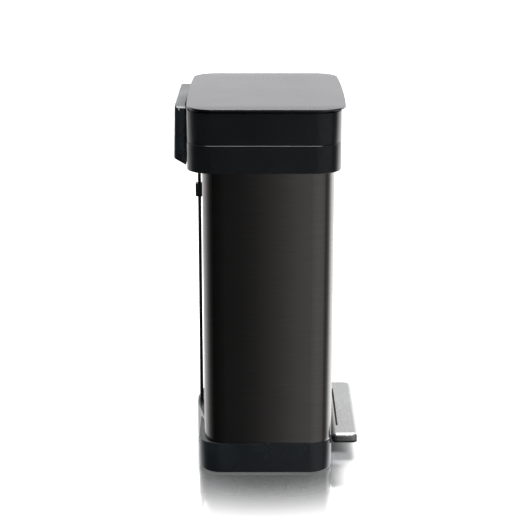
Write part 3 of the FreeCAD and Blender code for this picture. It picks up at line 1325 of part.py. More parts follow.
for item in doc.Objects:
    if any(state in ("Invalid", "Error") for state in item.State):
        raise RuntimeError(f"{item.Name} could not be built")
for node in NODES:
    if node.Shape.isNull() or not node.Shape.isValid():
        raise RuntimeError(f"{node.Label} has no valid shape")

os.makedirs("parts", exist_ok=True)
for node in NODES:
    node.Shape.exportStep(f"parts/{node.Label}.step")
    print(f"{node.Label:22} solids {len(node.Shape.Solids)}  volume {node.Shape.Volume:10.0f}")
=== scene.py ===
import bpy
import bmesh
import math
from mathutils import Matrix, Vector


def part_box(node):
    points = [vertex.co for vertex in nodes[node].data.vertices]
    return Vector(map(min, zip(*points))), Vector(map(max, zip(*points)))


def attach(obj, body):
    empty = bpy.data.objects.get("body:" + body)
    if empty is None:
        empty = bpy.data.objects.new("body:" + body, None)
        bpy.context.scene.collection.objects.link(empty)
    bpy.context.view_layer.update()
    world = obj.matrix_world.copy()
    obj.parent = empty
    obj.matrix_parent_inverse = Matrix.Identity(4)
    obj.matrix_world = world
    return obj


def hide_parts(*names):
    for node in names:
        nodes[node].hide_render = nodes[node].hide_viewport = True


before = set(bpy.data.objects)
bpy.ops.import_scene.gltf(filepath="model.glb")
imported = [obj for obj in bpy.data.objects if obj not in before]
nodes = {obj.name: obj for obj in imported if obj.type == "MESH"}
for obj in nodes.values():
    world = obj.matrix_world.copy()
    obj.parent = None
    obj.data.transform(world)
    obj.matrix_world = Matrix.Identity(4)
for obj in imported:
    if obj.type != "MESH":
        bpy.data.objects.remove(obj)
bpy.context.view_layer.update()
mm = 0.001
hair = 0.01 * mm  # places closer than this are the same
print("frame loaded:", len(nodes), "nodes")


def deselectAll():
    if bpy.context.object and bpy.context.object.mode != "OBJECT":
        bpy.ops.object.mode_set(mode="OBJECT")
    bpy.ops.object.select_all(action="DESELECT")


def pick(obj):
    deselectAll()
    obj.select_set(True)
    bpy.context.view_layer.objects.active = obj


# a cube stretched between two corners, its place in its mesh
def addBlock(name, low, high):
    deselectAll()
    middle = [(a + b) / 2 for a, b in zip(low, high)]
    bpy.ops.mesh.primitive_cube_add(size=1, location=middle)
    block = bpy.context.object
    block.name = block.data.name = name
    block.scale = [b - a for a, b in zip(low, high)]
    bpy.ops.object.transform_apply(location=True, rotation=True, scale=True)
    return block


# a cylinder along Z or X, its place in its mesh
def addRound(name, middle, radius, depth, axis="Z", sides=48):
    deselectAll()
    turns = {"Z": (0, 0, 0), "X": (0, math.pi / 2, 0)}
    bpy.ops.mesh.primitive_cylinder_add(vertices=sides, radius=radius, depth=depth,
                                        location=middle, rotation=turns[axis])
    piece = bpy.context.object
    piece.name = piece.data.name = name
    bpy.ops.object.transform_apply(location=True, rotation=True, scale=True)
    return piece


# edit mode on one object with nothing selected; gives its bmesh
def inEdit(obj):
    pick(obj)
    bpy.ops.object.mode_set(mode="EDIT")
    bpy.ops.mesh.select_mode(type="FACE")
    bpy.ops.mesh.select_all(action="DESELECT")
    return bmesh.from_edit_mesh(obj.data)


# selects the faces whose middle and normal are wanted
def selectFaces(obj, wanted):
    mesh = inEdit(obj)
    for face in mesh.faces:
        face.select_set(wanted(face.calc_center_median(), face.normal))
    bmesh.update_edit_mesh(obj.data)


# selects the edges whose two ends are wanted
def selectEdges(obj, wanted):
    inEdit(obj)
    bpy.ops.mesh.select_mode(type="EDGE")
    mesh = bmesh.from_edit_mesh(obj.data)
    for edge in mesh.edges:
        a, b = (vert.co for vert in edge.verts)
        if wanted(a, b):
            edge.select_set(True)
    bmesh.update_edit_mesh(obj.data)


def bevelEdges(obj, wanted, width, segments):
    selectEdges(obj, wanted)
    bpy.ops.mesh.bevel(offset=width, segments=segments, profile=0.5, affect="EDGES",
                       clamp_overlap=True)
    bpy.ops.object.mode_set(mode="OBJECT")


def bevelUprights(obj, radius, segments):
    bevelEdges(obj, lambda a, b: abs(a.x - b.x) < hair and abs(a.y - b.y) < hair
               and abs(a.z - b.z) > hair, radius, segments)


def deleteFaces(obj, wanted):
    selectFaces(obj, wanted)
    bpy.ops.mesh.delete(type="FACE")
    bpy.ops.object.mode_set(mode="OBJECT")


def applyModifier(obj, kind, **settings):
    pick(obj)
    modifier = obj.modifiers.new(kind.title(), kind)
    for key, value in settings.items():
        setattr(modifier, key, value)
    bpy.ops.object.modifier_apply(modifier=modifier.name)


# give a sheet its wall, inwards
def thicken(obj, wall):
    applyModifier(obj, "SOLIDIFY", thickness=wall, offset=-1, use_even_offset=True)


# a small rounding on every edge sharper than the angle
def softenEdges(obj, width, segments=2, angle=35):
    applyModifier(obj, "BEVEL", width=width, segments=segments, limit_method="ANGLE",
                  angle_limit=math.radians(angle), use_clamp_overlap=True)


def cut(obj, cutter):
    applyModifier(obj, "BOOLEAN", object=cutter, operation="DIFFERENCE", solver="EXACT")
    bpy.data.objects.remove(cutter)


def joinAll(pieces, name):
    deselectAll()
    for piece in pieces:
        piece.select_set(True)
    bpy.context.view_layer.objects.active = pieces[0]
    bpy.ops.object.join()
    whole = bpy.context.object
    whole.name = whole.data.name = name
    return whole


# places a piece in its mesh, shades it, and hangs it on its body
def finishPiece(obj, material, body, replaced=None):
    pick(obj)
    bpy.ops.object.transform_apply(location=True, rotation=True, scale=True)
    bpy.ops.object.shade_smooth_by_angle(angle=math.radians(35))
    obj.data.materials.clear()
    obj.data.materials.append(material)
    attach(obj, body)
    if replaced:
        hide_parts(replaced)


copyPlan = {"join": 0.002 * mm, "flat": 0.6}


# a copy of a CAD node with its triangles joined, so that it can be bevelled
def mergedCopy(node, name):
    pick(nodes[node])
    bpy.ops.object.duplicate()
    copy = bpy.context.object
    copy.name = copy.data.name = name
    for key in list(copy.keys()):
        del copy[key]
    copy.parent = None
    bpy.ops.object.mode_set(mode="EDIT")
    bpy.ops.mesh.select_all(action="SELECT")
    bpy.ops.mesh.remove_doubles(threshold=copyPlan["join"])
    bpy.ops.mesh.dissolve_limited(angle_limit=math.radians(copyPlan["flat"]))
    bpy.ops.object.mode_set(mode="OBJECT")
    return copy


# lowest and highest corner of each separate solid in a CAD node
def islandBoxes(node):
    pick(mergedCopy(node, "islands"))
    bpy.ops.mesh.separate(type="LOOSE")
    boxes = []
    for part in list(bpy.context.selected_objects):
        places = [vert.co for vert in part.data.vertices]
        low = Vector([min(p[i] for p in places) for i in range(3)])
        high = Vector([max(p[i] for p in places) for i in range(3)])
        boxes.append((low, high))
        bpy.data.objects.remove(part)
    return boxes


# sRGB hex to the linear values that a shader takes
def linearColour(hexText):
    values = [int(hexText[i:i + 2], 16) / 255 for i in (1, 3, 5)]
    return tuple(v / 12.92 if v <= 0.04045 else ((v + 0.055) / 1.055) ** 2.4
                 for v in values) + (1.0,)


# one node with its settings, socket values and links from (node, output)
def addNode(tree, kind, settings=None, inputs=None, links=None):
    node = tree.nodes.new(kind)
    for key, value in (settings or {}).items():
        setattr(node, key, value)
    for key, value in (inputs or {}).items():
        node.inputs[key].default_value = value
    for key, (source, output) in (links or {}).items():
        tree.links.new(source.outputs[output], node.inputs[key])
    return node


def newMaterial(name):
    material = bpy.data.materials.new(name)
    material.use_nodes = True
    tree = material.node_tree
    return material, tree, tree.nodes["Principled BSDF"]


# colour ramp between two hex colours, driven by a noise
def colourBetween(tree, factor, low, high):
    ramp = addNode(tree, "ShaderNodeValToRGB", links={"Fac": factor})
    for stop, place, colour in zip(ramp.color_ramp.elements, (0.3, 0.7), (low, high)):
        stop.position = place
        stop.color = linearColour(colour)
    return ramp


# rolled sheet brushed with a belt: long fine scratches that spread light across them
def brushedSteel(name, look):
    material, tree, shader = newMaterial(name)
    place = addNode(tree, "ShaderNodeTexCoord")
    # one scratch is lineWidth across and lineLength along
    across, along = 1 / (look["lineWidth"] * mm), 1 / (look["lineLength"] * mm)
    stretch = [along if axis in look["along"] else across for axis in "XYZ"]
    scaled = addNode(tree, "ShaderNodeMapping", inputs={"Scale": stretch},
                     links={"Vector": (place, "Object")})
    scratches = addNode(tree, "ShaderNodeTexNoise",
                        inputs={"Scale": 1.0, "Detail": 4.0, "Roughness": 0.62},
                        links={"Vector": (scaled, "Vector")})
    clouds = addNode(tree, "ShaderNodeTexNoise",
                     inputs={"Scale": 1 / (look["cloud"] * mm), "Detail": 2.0},
                     links={"Vector": (place, "Object")})
    tone = colourBetween(tree, (scratches, "Fac"), look["dark"], look["light"])
    tree.links.new(tone.outputs["Color"], shader.inputs["Base Color"])
    shader.inputs["Metallic"].default_value = 1.0
    both = addNode(tree, "ShaderNodeMath", {"operation": "MULTIPLY_ADD"}, {1: 0.5},
                   {0: (scratches, "Fac")})
    tree.links.new(clouds.outputs["Fac"], both.inputs[2])
    rough = addNode(tree, "ShaderNodeMapRange",
                    inputs={"From Min": 0.4, "From Max": 1.1, "To Min": look["roughLow"],
                            "To Max": look["roughHigh"]}, links={"Value": (both, 0)})
    tree.links.new(rough.outputs["Result"], shader.inputs["Roughness"])
    bump = addNode(tree, "ShaderNodeBump",
                   inputs={"Strength": look["bump"], "Distance": 0.05 * mm},
                   links={"Height": (scratches, "Fac")})
    if "bow" in look:
        # the rolled sheet stands slightly proud between its corners
        parts = addNode(tree, "ShaderNodeSeparateXYZ", links={"Vector": (place, "Object")})
        square = addNode(tree, "ShaderNodeMath", {"operation": "MULTIPLY"},
                         links={0: (parts, "Y"), 1: (parts, "Y")})
        height = addNode(tree, "ShaderNodeMath", {"operation": "MULTIPLY"},
                         {1: -look["bow"]}, {0: (square, 0)})
        bowed = addNode(tree, "ShaderNodeBump", inputs={"Strength": 1.0, "Distance": 1.0},
                        links={"Height": (height, 0)})
        tree.links.new(bowed.outputs["Normal"], bump.inputs["Normal"])
    tree.links.new(bump.outputs["Normal"], shader.inputs["Normal"])
    return material


# injection-moulded part: even colour, a fine spark-eroded grain or a slight orange peel
def mouldedPlastic(name, look):
    material, tree, shader = newMaterial(name)
    place = addNode(tree, "ShaderNodeTexCoord")
    grain = addNode(tree, "ShaderNodeTexNoise",
                    inputs={"Scale": 1 / (look["grain"] * mm), "Detail": 3.0,
                            "Roughness": 0.55}, links={"Vector": (place, "Object")})
    flow = addNode(tree, "ShaderNodeTexNoise",
                   inputs={"Scale": 1 / (look["flow"] * mm), "Detail": 2.0},
                   links={"Vector": (place, "Object")})
    tone = colourBetween(tree, (flow, "Fac"), look["dark"], look["light"])
    tree.links.new(tone.outputs["Color"], shader.inputs["Base Color"])
    rough = addNode(tree, "ShaderNodeMapRange",
                    inputs={"From Min": 0.3, "From Max": 0.7, "To Min": look["roughLow"],
                            "To Max": look["roughHigh"]}, links={"Value": (flow, "Fac")})
    tree.links.new(rough.outputs["Result"], shader.inputs["Roughness"])
    bump = addNode(tree, "ShaderNodeBump",
                   inputs={"Strength": look["bump"], "Distance": 0.1 * mm},
                   links={"Height": (grain, "Fac")})
    tree.links.new(bump.outputs["Normal"], shader.inputs["Normal"])
    shader.inputs["IOR"].default_value = look["ior"]
    shader.inputs["Specular IOR Level"].default_value = look.get("specular", 0.5)
    return material


# bright zinc on pressed steel: crystalline patches of slightly different grey
def zincPlate(name, look):
    material, tree, shader = newMaterial(name)
    place = addNode(tree, "ShaderNodeTexCoord")
    patches = addNode(tree, "ShaderNodeTexVoronoi",
                      inputs={"Scale": 1 / (look["patch"] * mm)},
                      links={"Vector": (place, "Object")})
    haze = addNode(tree, "ShaderNodeTexNoise",
                   inputs={"Scale": 1 / (look["haze"] * mm), "Detail": 4.0},
                   links={"Vector": (place, "Object")})
    tone = colourBetween(tree, (haze, "Fac"), look["dark"], look["light"])
    tree.links.new(tone.outputs["Color"], shader.inputs["Base Color"])
    shader.inputs["Metallic"].default_value = 1.0
    rough = addNode(tree, "ShaderNodeMapRange",
                    inputs={"To Min": look["roughLow"], "To Max": look["roughHigh"]},
                    links={"Value": (patches, "Distance")})
    tree.links.new(rough.outputs["Result"], shader.inputs["Roughness"])
    bump = addNode(tree, "ShaderNodeBump", inputs={"Strength": 0.1, "Distance": 0.1 * mm},
                   links={"Height": (haze, "Fac")})
    tree.links.new(bump.outputs["Normal"], shader.inputs["Normal"])
    return material


# body: black stainless, a tinted layer over fine level brushing, dark but still metallic
bodySteel = brushedSteel("brushedBlackStainless", {
    "dark": "#6a6766", "light": "#7c7977", "along": "XY", "lineWidth": 0.5, "lineLength": 60,
    "cloud": 90, "roughLow": 0.13, "roughHigh": 0.18, "bump": 0.05, "bow": 0.3})
# lid plate: the same tinted stainless, brushed across the width; its colour is set darker than
# the body's as painted shade, to hold down the light that the top takes from the bright sky
# above
lidSteelPaintedShade = brushedSteel("brushedBlackStainlessLidPaintedShade", {
    "dark": "#575559", "light": "#636165", "along": "X", "lineWidth": 0.4, "lineLength": 50,
    "cloud": 120, "roughLow": 0.22, "roughHigh": 0.3, "bump": 0.06})
# pedal: brighter stainless, brushed across the width
pedalSteel = brushedSteel("brushedStainlessPedal", {
    "dark": "#9a9a9a", "light": "#b0b0b0", "along": "X", "lineWidth": 0.4, "lineLength": 30,
    "cloud": 60, "roughLow": 0.2, "roughHigh": 0.32, "bump": 0.15})
# collar and lid skirt: polished ABS, near black with a cold tint
glossAbs = mouldedPlastic("glossBlackAbs", {
    "dark": "#0a0c0e", "light": "#0d0f11", "grain": 2.5, "flow": 80, "roughLow": 0.14,
    "roughHigh": 0.2, "bump": 0.02, "ior": 1.52, "specular": 0.36})
# base, hinge box and rod guide: satin ABS with a fine grain
satinAbs = mouldedPlastic("satinBlackAbs", {
    "dark": "#0d1317", "light": "#12191e", "grain": 0.7, "flow": 60, "roughLow": 0.24,
    "roughHigh": 0.31, "bump": 0.08, "ior": 1.52})
# undersides and the lid's inner panel: plain matt ABS
mattAbs = mouldedPlastic("mattBlackAbs", {
    "dark": "#17181a", "light": "#1d1e20", "grain": 0.8, "flow": 50, "roughLow": 0.5,
    "roughHigh": 0.6, "bump": 0.2, "ior": 1.5})
# bucket: dark grey polypropylene, waxy
bucketPlastic = mouldedPlastic("greyPolypropylene", {
    "dark": "#3a3b3d", "light": "#434446", "grain": 1.2, "flow": 70, "roughLow": 0.42,
    "roughHigh": 0.52, "bump": 0.1, "ior": 1.49})
# bushes and rod ends: natural nylon
nylon = mouldedPlastic("naturalNylon", {
    "dark": "#cdc8b8", "light": "#dcd8ca", "grain": 0.9, "flow": 12, "roughLow": 0.38,
    "roughHigh": 0.5, "bump": 0.08, "ior": 1.53})
# feet, buffers and the pedal's strip: carbon-filled rubber
rubber = mouldedPlastic("blackRubber", {
    "dark": "#0b0b0b", "light": "#121212", "grain": 0.5, "flow": 15, "roughLow": 0.68,
    "roughHigh": 0.82, "bump": 0.3, "ior": 1.5})
# rod: black powder coat, a low orange peel
rodPaint = mouldedPlastic("blackPowderCoat", {
    "dark": "#121316", "light": "#191a1d", "grain": 1.0, "flow": 30, "roughLow": 0.3,
    "roughHigh": 0.4, "bump": 0.25, "ior": 1.5})
# pressed brackets, lever and screws: bright zinc, slightly patchy
zincSteel = zincPlate("zincPlatedSteel", {
    "dark": "#a3a7ad", "light": "#c2c5c9", "patch": 6, "haze": 9, "roughLow": 0.24,
    "roughHigh": 0.4})
# hinge pin: ground and polished, nearly a mirror
pinSteel = zincPlate("polishedPinSteel", {
    "dark": "#dcdcdd", "light": "#ececec", "patch": 4, "haze": 5, "roughLow": 0.08,
    "roughHigh": 0.16})
print("materials made")


cameraPlan = {"place": (-2.6913, 0.0125, 1.1014), "down": 15.81, "lens": 105.25,
              "sensor": 36, "far": 200}


def makeCamera():
    data = bpy.data.cameras.new("camera")
    data.lens = cameraPlan["lens"]
    data.sensor_width = cameraPlan["sensor"]
    data.clip_end = cameraPlan["far"]
    camera = bpy.data.objects.new("camera", data)
    bpy.context.scene.collection.objects.link(camera)
    camera.location = cameraPlan["place"]
    camera.rotation_euler = (math.radians(90 - cameraPlan["down"]), 0, math.radians(-90))
    bpy.context.scene.camera = camera


# right and left: brightness round the object, by angle from the -X side
# full: brightness at the ramp's white, above: what is added overhead
skyPlan = {
    "right": [(0, 0.112), (3.6, 0.165), (6.7, 0.31), (14, 0.36), (40, 0.42), (68, 0.4),
              (84, 0.12), (98, 0.3), (106, 0.8), (115, 1.8), (125, 2.6), (142, 2.6),
              (165, 1.2), (180, 1.1)],
    "left": [(2.6, 0.066), (5.8, 0.044), (14, 0.04), (70, 0.02), (87, 0.08), (102, 0.32),
             (120, 1.0), (146, 1.4), (165, 1.15), (180, 1.1)],
    "full": 3.0, "above": 0.5, "aboveFrom": 0.35, "aboveTo": 0.95,
    "tint": (0.99, 0.995, 1.0, 1)}


# studio surround: panels round the object, dark on the -X side
def makeSky():
    world = bpy.data.worlds.new("studio")
    bpy.context.scene.world = world
    world.use_nodes = True
    tree = world.node_tree
    tree.nodes.clear()
    direction = addNode(tree, "ShaderNodeTexCoord")
    parts = addNode(tree, "ShaderNodeSeparateXYZ", links={"Vector": (direction, "Generated")})
    back = addNode(tree, "ShaderNodeMath", {"operation": "MULTIPLY"}, {1: -1.0},
                   {0: (parts, "X")})
    turn = addNode(tree, "ShaderNodeMath", {"operation": "ARCTAN2"},
                   links={0: (parts, "Y"), 1: (back, 0)})
    share = addNode(tree, "ShaderNodeMapRange",
                    inputs={"From Min": -math.pi, "From Max": math.pi},
                    links={"Value": (turn, 0)})
    ramp = addNode(tree, "ShaderNodeValToRGB", links={"Fac": (share, "Result")})
    stops = [(0.5 - angle / 360, level) for angle, level in reversed(skyPlan["right"])]
    stops += [(0.5 + angle / 360, level) for angle, level in skyPlan["left"]]
    ramp.color_ramp.elements.remove(ramp.color_ramp.elements[1])
    ramp.color_ramp.elements[0].position = stops[0][0]
    ramp.color_ramp.elements[0].color = (stops[0][1] / skyPlan["full"],) * 3 + (1,)
    for place, level in stops[1:]:
        ramp.color_ramp.elements.new(place).color = (level / skyPlan["full"],) * 3 + (1,)
    above = addNode(tree, "ShaderNodeMapRange", {"interpolation_type": "SMOOTHSTEP"},
                    {"From Min": skyPlan["aboveFrom"], "From Max": skyPlan["aboveTo"],
                     "To Min": 0.0, "To Max": skyPlan["above"]}, {"Value": (parts, "Z")})
    total = addNode(tree, "ShaderNodeMath", {"operation": "MULTIPLY_ADD"},
                    {1: skyPlan["full"]}, {0: (ramp, "Color"), 2: (above, "Result")})
    room = addNode(tree, "ShaderNodeBackground", inputs={"Color": skyPlan["tint"]},
                   links={"Strength": (total, 0)})
    plain = addNode(tree, "ShaderNodeBackground", inputs={"Color": (1, 1, 1, 1),
                                                          "Strength": 1.0})
    # the backdrop itself stays plain white
    rays = addNode(tree, "ShaderNodeLightPath")
    mix = addNode(tree, "ShaderNodeMixShader", links={0: (rays, "Is Camera Ray")})
    tree.links.new(room.outputs[0], mix.inputs[1])
    tree.links.new(plain.outputs[0], mix.inputs[2])
    addNode(tree, "ShaderNodeOutputWorld", links={"Surface": (mix, 0)})


# polish fades with distance from near to far, and beside the body in front
floorPlan = {"size": 60, "colour": "#f6f6f6", "polish": 0.9, "near": 0.2, "far": 0.54,
             "pedalSide": -0.17, "bodySide": -0.1, "gloss": 0.95, "roughLow": 0.08,
             "roughHigh": 0.1, "haze": 3.0}


# white table, polished round the object so that the base is mirrored faintly
def makeFloor():
    deselectAll()
    bpy.ops.mesh.primitive_plane_add(size=floorPlan["size"])
    floor = bpy.context.object
    floor.name = "floor"
    material, tree, shader = newMaterial("paleFloor")
    place = addNode(tree, "ShaderNodeTexCoord")
    parts = addNode(tree, "ShaderNodeSeparateXYZ", links={"Vector": (place, "Object")})
    further = addNode(tree, "ShaderNodeVectorMath", {"operation": "LENGTH"},
                      links={0: (place, "Object")})
    fade = addNode(tree, "ShaderNodeMapRange", {"interpolation_type": "SMOOTHSTEP"},
                   inputs={"From Min": floorPlan["near"], "From Max": floorPlan["far"],
                           "To Min": floorPlan["polish"], "To Max": 0.0},
                   links={"Value": (further, "Value")})
    # no polish beside the body, where the pedal's shadow lies
    beside = addNode(tree, "ShaderNodeMapRange", {"interpolation_type": "SMOOTHSTEP"},
                     {"From Min": floorPlan["pedalSide"], "From Max": floorPlan["bodySide"],
                      "To Min": 0.0, "To Max": 1.0}, {"Value": (parts, "Y")})
    polish = addNode(tree, "ShaderNodeMath", {"operation": "MULTIPLY"},
                     links={0: (fade, "Result"), 1: (beside, "Result")})
    haze = addNode(tree, "ShaderNodeTexNoise", inputs={"Scale": floorPlan["haze"]},
                   links={"Vector": (place, "Object")})
    rough = addNode(tree, "ShaderNodeMapRange",
                    inputs={"To Min": floorPlan["roughLow"], "To Max": floorPlan["roughHigh"]},
                    links={"Value": (haze, "Fac")})
    shader.inputs["Base Color"].default_value = linearColour(floorPlan["colour"])
    shader.inputs["Roughness"].default_value = 0.9
    shader.inputs["Specular IOR Level"].default_value = 0.0
    gloss = addNode(tree, "ShaderNodeBsdfAnisotropic",
                    inputs={"Color": (floorPlan["gloss"],) * 3 + (1,)},
                    links={"Roughness": (rough, "Result")})
    both = addNode(tree, "ShaderNodeMixShader", links={0: (polish, 0)})
    tree.links.new(shader.outputs[0], both.inputs[1])
    tree.links.new(gloss.outputs[0], both.inputs[2])
    tree.links.new(both.outputs[0], tree.nodes["Material Output"].inputs["Surface"])
    floor.data.materials.append(material)
    floor.visible_glossy = False


lightPlan = {"overhead": 2.9, "spread": 60, "tilt": (-5, 16),
             "strip": 50, "stripSize": (1.6, 0.5), "stripPlace": (-0.8, 0, 2.7),
             "stripTarget": (-0.19, 0, 0.6)}


def makeLights():
    sun = bpy.data.lights.new("overhead", "SUN")
    sun.energy = lightPlan["overhead"]
    sun.angle = math.radians(lightPlan["spread"])
    overhead = bpy.data.objects.new("overhead", sun)
    overhead.rotation_euler = (*(math.radians(turn) for turn in lightPlan["tilt"]), 0)
    # strip overhead that the bevelled edges pick up
    panel = bpy.data.lights.new("edgeStrip", "AREA")
    panel.shape = "RECTANGLE"
    panel.size, panel.size_y = lightPlan["stripSize"]
    panel.energy = lightPlan["strip"]
    strip = bpy.data.objects.new("edgeStrip", panel)
    strip.location = lightPlan["stripPlace"]
    aim = Vector(lightPlan["stripTarget"]) - Vector(lightPlan["stripPlace"])
    strip.rotation_euler = aim.to_track_quat("-Z", "Y").to_euler()
    for lamp in (overhead, strip):
        bpy.context.scene.collection.objects.link(lamp)


makeCamera()
makeSky()
makeFloor()
makeLights()
bpy.context.scene.view_settings.view_transform = "Standard"
print("camera, floor and light made")


bodyPlan = {"corner": 39 * mm, "segments": 20, "sheet": 0.8 * mm, "hem": 6 * mm,
            "bead": 1.2 * mm, "rim": 0.25 * mm}


def makeBody():
    low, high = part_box("body_shell")
    body = addBlock("bodyWrap", low, high)
    bevelUprights(body, bodyPlan["corner"], bodyPlan["segments"])
    deleteFaces(body, lambda c, n: abs(n.z) > 0.9)
    # two lines where the hem is folded along the lower edge
    pick(body)
    bpy.ops.object.mode_set(mode="EDIT")
    for rise in (bodyPlan["hem"], bodyPlan["hem"] + bodyPlan["bead"]):
        bpy.ops.mesh.select_all(action="SELECT")
        bpy.ops.mesh.bisect(plane_co=(0, 0, low.z + rise), plane_no=(0, 0, 1))
    bpy.ops.object.mode_set(mode="OBJECT")
    thicken(body, bodyPlan["sheet"])
    softenEdges(body, bodyPlan["rim"], 2, 60)
    finishPiece(body, bodySteel, "can", "body_shell")


seamPlan = {"side": 120 * mm, "width": 14 * mm, "sunk": 0.1 * mm, "proud": 0.35 * mm,
            "low": 1 * mm, "high": 30 * mm, "round": 0.3 * mm}


# lap seam of the wrap, down the back
def makeBodySeam():
    low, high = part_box("body_shell")
    side = seamPlan["side"]
    seam = addBlock("bodySeam",
                    (side, high.y - seamPlan["sunk"], low.z + seamPlan["low"]),
                    (side + seamPlan["width"], high.y + seamPlan["proud"],
                     high.z - seamPlan["high"]))
    softenEdges(seam, seamPlan["round"], 3, 40)
    finishPiece(seam, bodySteel, "can")


lidPlan = {"corner": 41 * mm, "cornerSteps": 24, "bow": 4.8 * mm, "bowSteps": 30,
           "edge": 0.8 * mm, "round": 0.6 * mm}


def makeLidPlate():
    low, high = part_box("lid_top_plate")
    plate = addBlock("lidPlate", low, high)
    bevelUprights(plate, lidPlan["corner"], lidPlan["cornerSteps"])
    # more points along front and back, then both edges are bowed
    selectEdges(plate, lambda a, b: abs(a.z - b.z) < hair and abs(a.y - b.y) < hair
                and abs(a.x - b.x) > lidPlan["corner"])
    bpy.ops.mesh.subdivide(number_cuts=lidPlan["bowSteps"])
    bpy.ops.object.mode_set(mode="OBJECT")
    for vert in plate.data.vertices:
        pull = lidPlan["bow"] * (vert.co.x / high.x) ** 2
        vert.co.y += pull if vert.co.y < 0 else -pull
    # hollow from below, so that the edge is as thin as the sheet
    selectFaces(plate, lambda c, n: n.z < -0.9)
    bpy.ops.mesh.inset(thickness=lidPlan["edge"])
    bpy.ops.transform.translate(value=(0, 0, high.z - low.z - lidPlan["edge"]))
    bpy.ops.object.mode_set(mode="OBJECT")
    bevelEdges(plate, lambda a, b: abs(a.z - high.z) < hair and abs(b.z - high.z) < hair,
               lidPlan["round"], 4)
    # the plate takes the darker copy of the body's stainless, its painted shade
    finishPiece(plate, lidSteelPaintedShade, "lid", "lid_top_plate")


# node: (piece's name, material, body it rides, rounding of its edges, material slot)
mouldings = {
    "collar": ("trimCollar", glossAbs, "can", 0.7 * mm, "gloss_black"),
    "lid_skirt": ("lidSkirt", glossAbs, "lid", 0.7 * mm, "gloss_black"),
    "base_shell": ("baseShell", satinAbs, "can", 0.6 * mm, "black_moulding"),
    "hinge_cover_upper": ("hingeCoverUpper", satinAbs, "can", 0.5 * mm, "black_moulding"),
    "hinge_cover_lower": ("hingeCoverLower", satinAbs, "can", 0.5 * mm, "black_moulding"),
    "rod_guide": ("rodGuide", satinAbs, "can", 0.4 * mm, "black_moulding"),
    "inner_bucket": ("innerBucket", bucketPlastic, "can", 0.5 * mm, "bucket_plastic"),
    "lid_liner": ("lidLiner", mattAbs, "lid", 0.5 * mm, "liner_plastic"),
    "pedal_plate": ("pedalPlate", pedalSteel, "pedal", 0.3 * mm, "pedal_steel"),
    "pedal_tray": ("pedalTray", mattAbs, "pedal", 0.4 * mm, "liner_plastic"),
}


# moulded and pressed parts keep their shape and get their edges broken
def makeMouldings():
    for node, (name, material, body, width, slot) in mouldings.items():
        piece = mergedCopy(node, name)
        softenEdges(piece, width, 2, 40)
        finishPiece(piece, material, body, node)


screwPlan = {"headRadius": 3.6 * mm, "headHeight": 1.6 * mm, "shankRadius": 1.7 * mm,
             "headRound": 0.9 * mm, "slotWidth": 0.9 * mm, "slotLength": 4.2 * mm,
             "slotDepth": 0.9 * mm, "slotOut": 1 * mm, "tip": 0.9 * mm, "headSides": 32,
             "shankSides": 20}
# node: (axis of the screw, side its head is on, body it rides, piece's name)
screwNodes = {
    "base_screws": (2, "low", "can", "baseScrews"),
    "guide_screws": (1, "high", "can", "guideScrews"),
    "cover_screws": (1, "high", "can", "coverScrews"),
    "lid_screws": (2, "low", "lid", "lidScrews"),
    "pedal_screws": (2, "low", "pedal", "pedalScrews"),
}


# pan head under z = 0, cross recess in it, shank upwards
def makeScrew(length, name):
    plan = screwPlan
    height = plan["headHeight"]
    head = addRound(name, (0, 0, height / 2), plan["headRadius"], height,
                    sides=plan["headSides"])
    bevelEdges(head, lambda a, b: a.z < hair and b.z < hair, plan["headRound"], 4)
    reach, half, deep = plan["slotLength"] / 2, plan["slotWidth"] / 2, plan["slotDepth"]
    for x, y in ((reach, half), (half, reach)):
        cut(head, addBlock("recess", (-x, -y, -plan["slotOut"]), (x, y, deep)))
    shank = addRound(name, (0, 0, height + (length - height) / 2), plan["shankRadius"],
                     length - height, sides=plan["shankSides"])
    bevelEdges(shank, lambda a, b: a.z > length - hair and b.z > length - hair,
               plan["tip"], 1)
    return joinAll([head, shank], name)


def makeScrews():
    for node, (axis, side, body, name) in screwNodes.items():
        screws = []
        for low, high in islandBoxes(node):
            length = high[axis] - low[axis]
            screw = makeScrew(length, name)
            middle = (low + high) / 2
            middle[axis] = low[axis] if side == "low" else high[axis]
            if axis == 1:
                # the head looks towards +Y
                screw.rotation_euler = (math.radians(90), 0, 0)
            screw.location = middle
            pick(screw)
            bpy.ops.object.transform_apply(location=True, rotation=True, scale=True)
            screws.append(screw)
        finishPiece(joinAll(screws, name), zincSteel, body, node)


rodPlan = {"sides": 48, "round": 0.5 * mm}


def makeRod():
    low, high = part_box("lift_rod")
    middle = (low + high) / 2
    rod = addRound("liftRod", middle, (high.x - low.x) / 2, high.z - low.z,
                   sides=rodPlan["sides"])
    softenEdges(rod, rodPlan["round"], 2, 60)
    finishPiece(rod, rodPaint, "rod", "lift_rod")


pinPlan = {"sides": 40, "round": 0.5 * mm}


def makeHingePin():
    low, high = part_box("hinge_pin")
    middle = (low + high) / 2
    pin = addRound("hingePin", middle, (high.z - low.z) / 2, high.x - low.x, "X",
                   pinPlan["sides"])
    softenEdges(pin, pinPlan["round"], 3, 60)
    finishPiece(pin, pinSteel, "can", "hinge_pin")


# rings: radius of each groove as a share of the pad's own
footPlan = {"sides": 64, "round": 0.6 * mm, "rings": (0.72, 0.4), "ringSides": 48,
            "ringWide": 1.6 * mm, "ringHigh": 1.2 * mm, "coreHigh": 3 * mm}


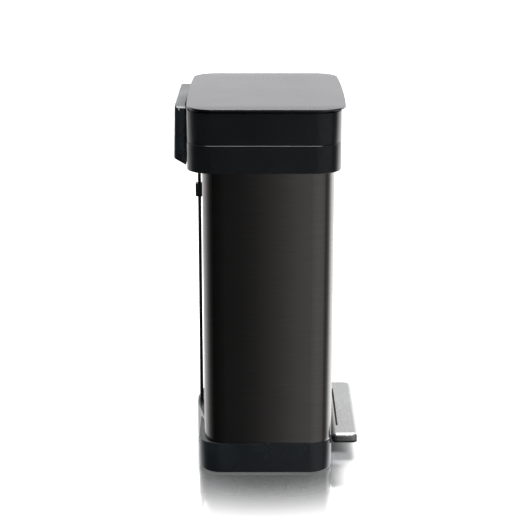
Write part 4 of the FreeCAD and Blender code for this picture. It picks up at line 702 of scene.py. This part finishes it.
# rubber pads with two grooves moulded in the face on the floor
def makeFeet():
    pads = []
    for low, high in islandBoxes("foot_pads"):
        middle = (low + high) / 2
        radius, height = (high.x - low.x) / 2, high.z - low.z
        pad = addRound("footPads", middle, radius, height, sides=footPlan["sides"])
        bevelEdges(pad, lambda a, b: a.z < low.z + hair and b.z < low.z + hair,
                   footPlan["round"], 3)
        under = (middle.x, middle.y, low.z)
        for share in footPlan["rings"]:
            ring = addRound("ring", under, radius * share, footPlan["ringHigh"],
                            sides=footPlan["ringSides"])
            core = addRound("core", under, radius * share - footPlan["ringWide"],
                            footPlan["coreHigh"], sides=footPlan["ringSides"])
            cut(ring, core)
            cut(pad, ring)
        pads.append(pad)
    finishPiece(joinAll(pads, "footPads"), rubber, "can", "foot_pads")


# flange: what the CAD strip has hidden under the plate, all round
stripPlan = {"pitch": 2.5 * mm, "rib": 1.1 * mm, "ribHeight": 0.35 * mm,
             "ribSunk": 0.3 * mm, "ribIn": 0.1 * mm, "ribRound": 0.15 * mm,
             "flange": 0.9 * mm, "round": 0.3 * mm}


# rubber strip of the pedal, ribbed across
def makeStrip():
    plan = stripPlan
    low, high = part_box("pedal_grip")
    top = high.z - plan["ribHeight"]
    inset = plan["flange"]
    core = addBlock("pedalStrip", (low.x + inset, low.y + inset, low.z),
                    (high.x - inset, high.y - inset, top))
    softenEdges(core, plan["round"], 2)
    pieces = [core]
    x = core.bound_box[0][0] + plan["pitch"] / 2
    while x + plan["rib"] < high.x - inset:
        rib = addBlock("rib", (x, low.y + inset + plan["ribIn"], top - plan["ribSunk"]),
                       (x + plan["rib"], high.y - inset - plan["ribIn"], high.z))
        softenEdges(rib, plan["ribRound"], 2)
        pieces.append(rib)
        x += plan["pitch"]
    finishPiece(joinAll(pieces, "pedalStrip"), rubber, "pedal", "pedal_grip")


# small parts that keep their CAD shape
cadFinish = {
    "base_bottom_plate": satinAbs, "axle_saddle_left": satinAbs, "axle_saddle_right": satinAbs,
    "hinge_bracket": zincSteel, "lid_hinge_arm_left": zincSteel,
    "lid_hinge_arm_right": zincSteel, "lid_crank": zincSteel, "pedal_lever": zincSteel,
    "axle_clips": zincSteel, "lever_axle": zincSteel, "crank_pin": zincSteel,
    "rod_head": nylon, "rod_foot": nylon, "axle_bushes": nylon, "lid_bumpers": rubber,
}


def finishCadNodes():
    for node, material in cadFinish.items():
        data = nodes[node].data
        data.materials.clear()
        data.materials.append(material)


makeBody()
makeBodySeam()
makeLidPlate()
print("body and lid plate made")
makeMouldings()
print("mouldings made")
makeScrews()
makeRod()
makeHingePin()
makeFeet()
makeStrip()
print("screws, rod, pin, feet and strip made")
finishCadNodes()
print("small parts finished")
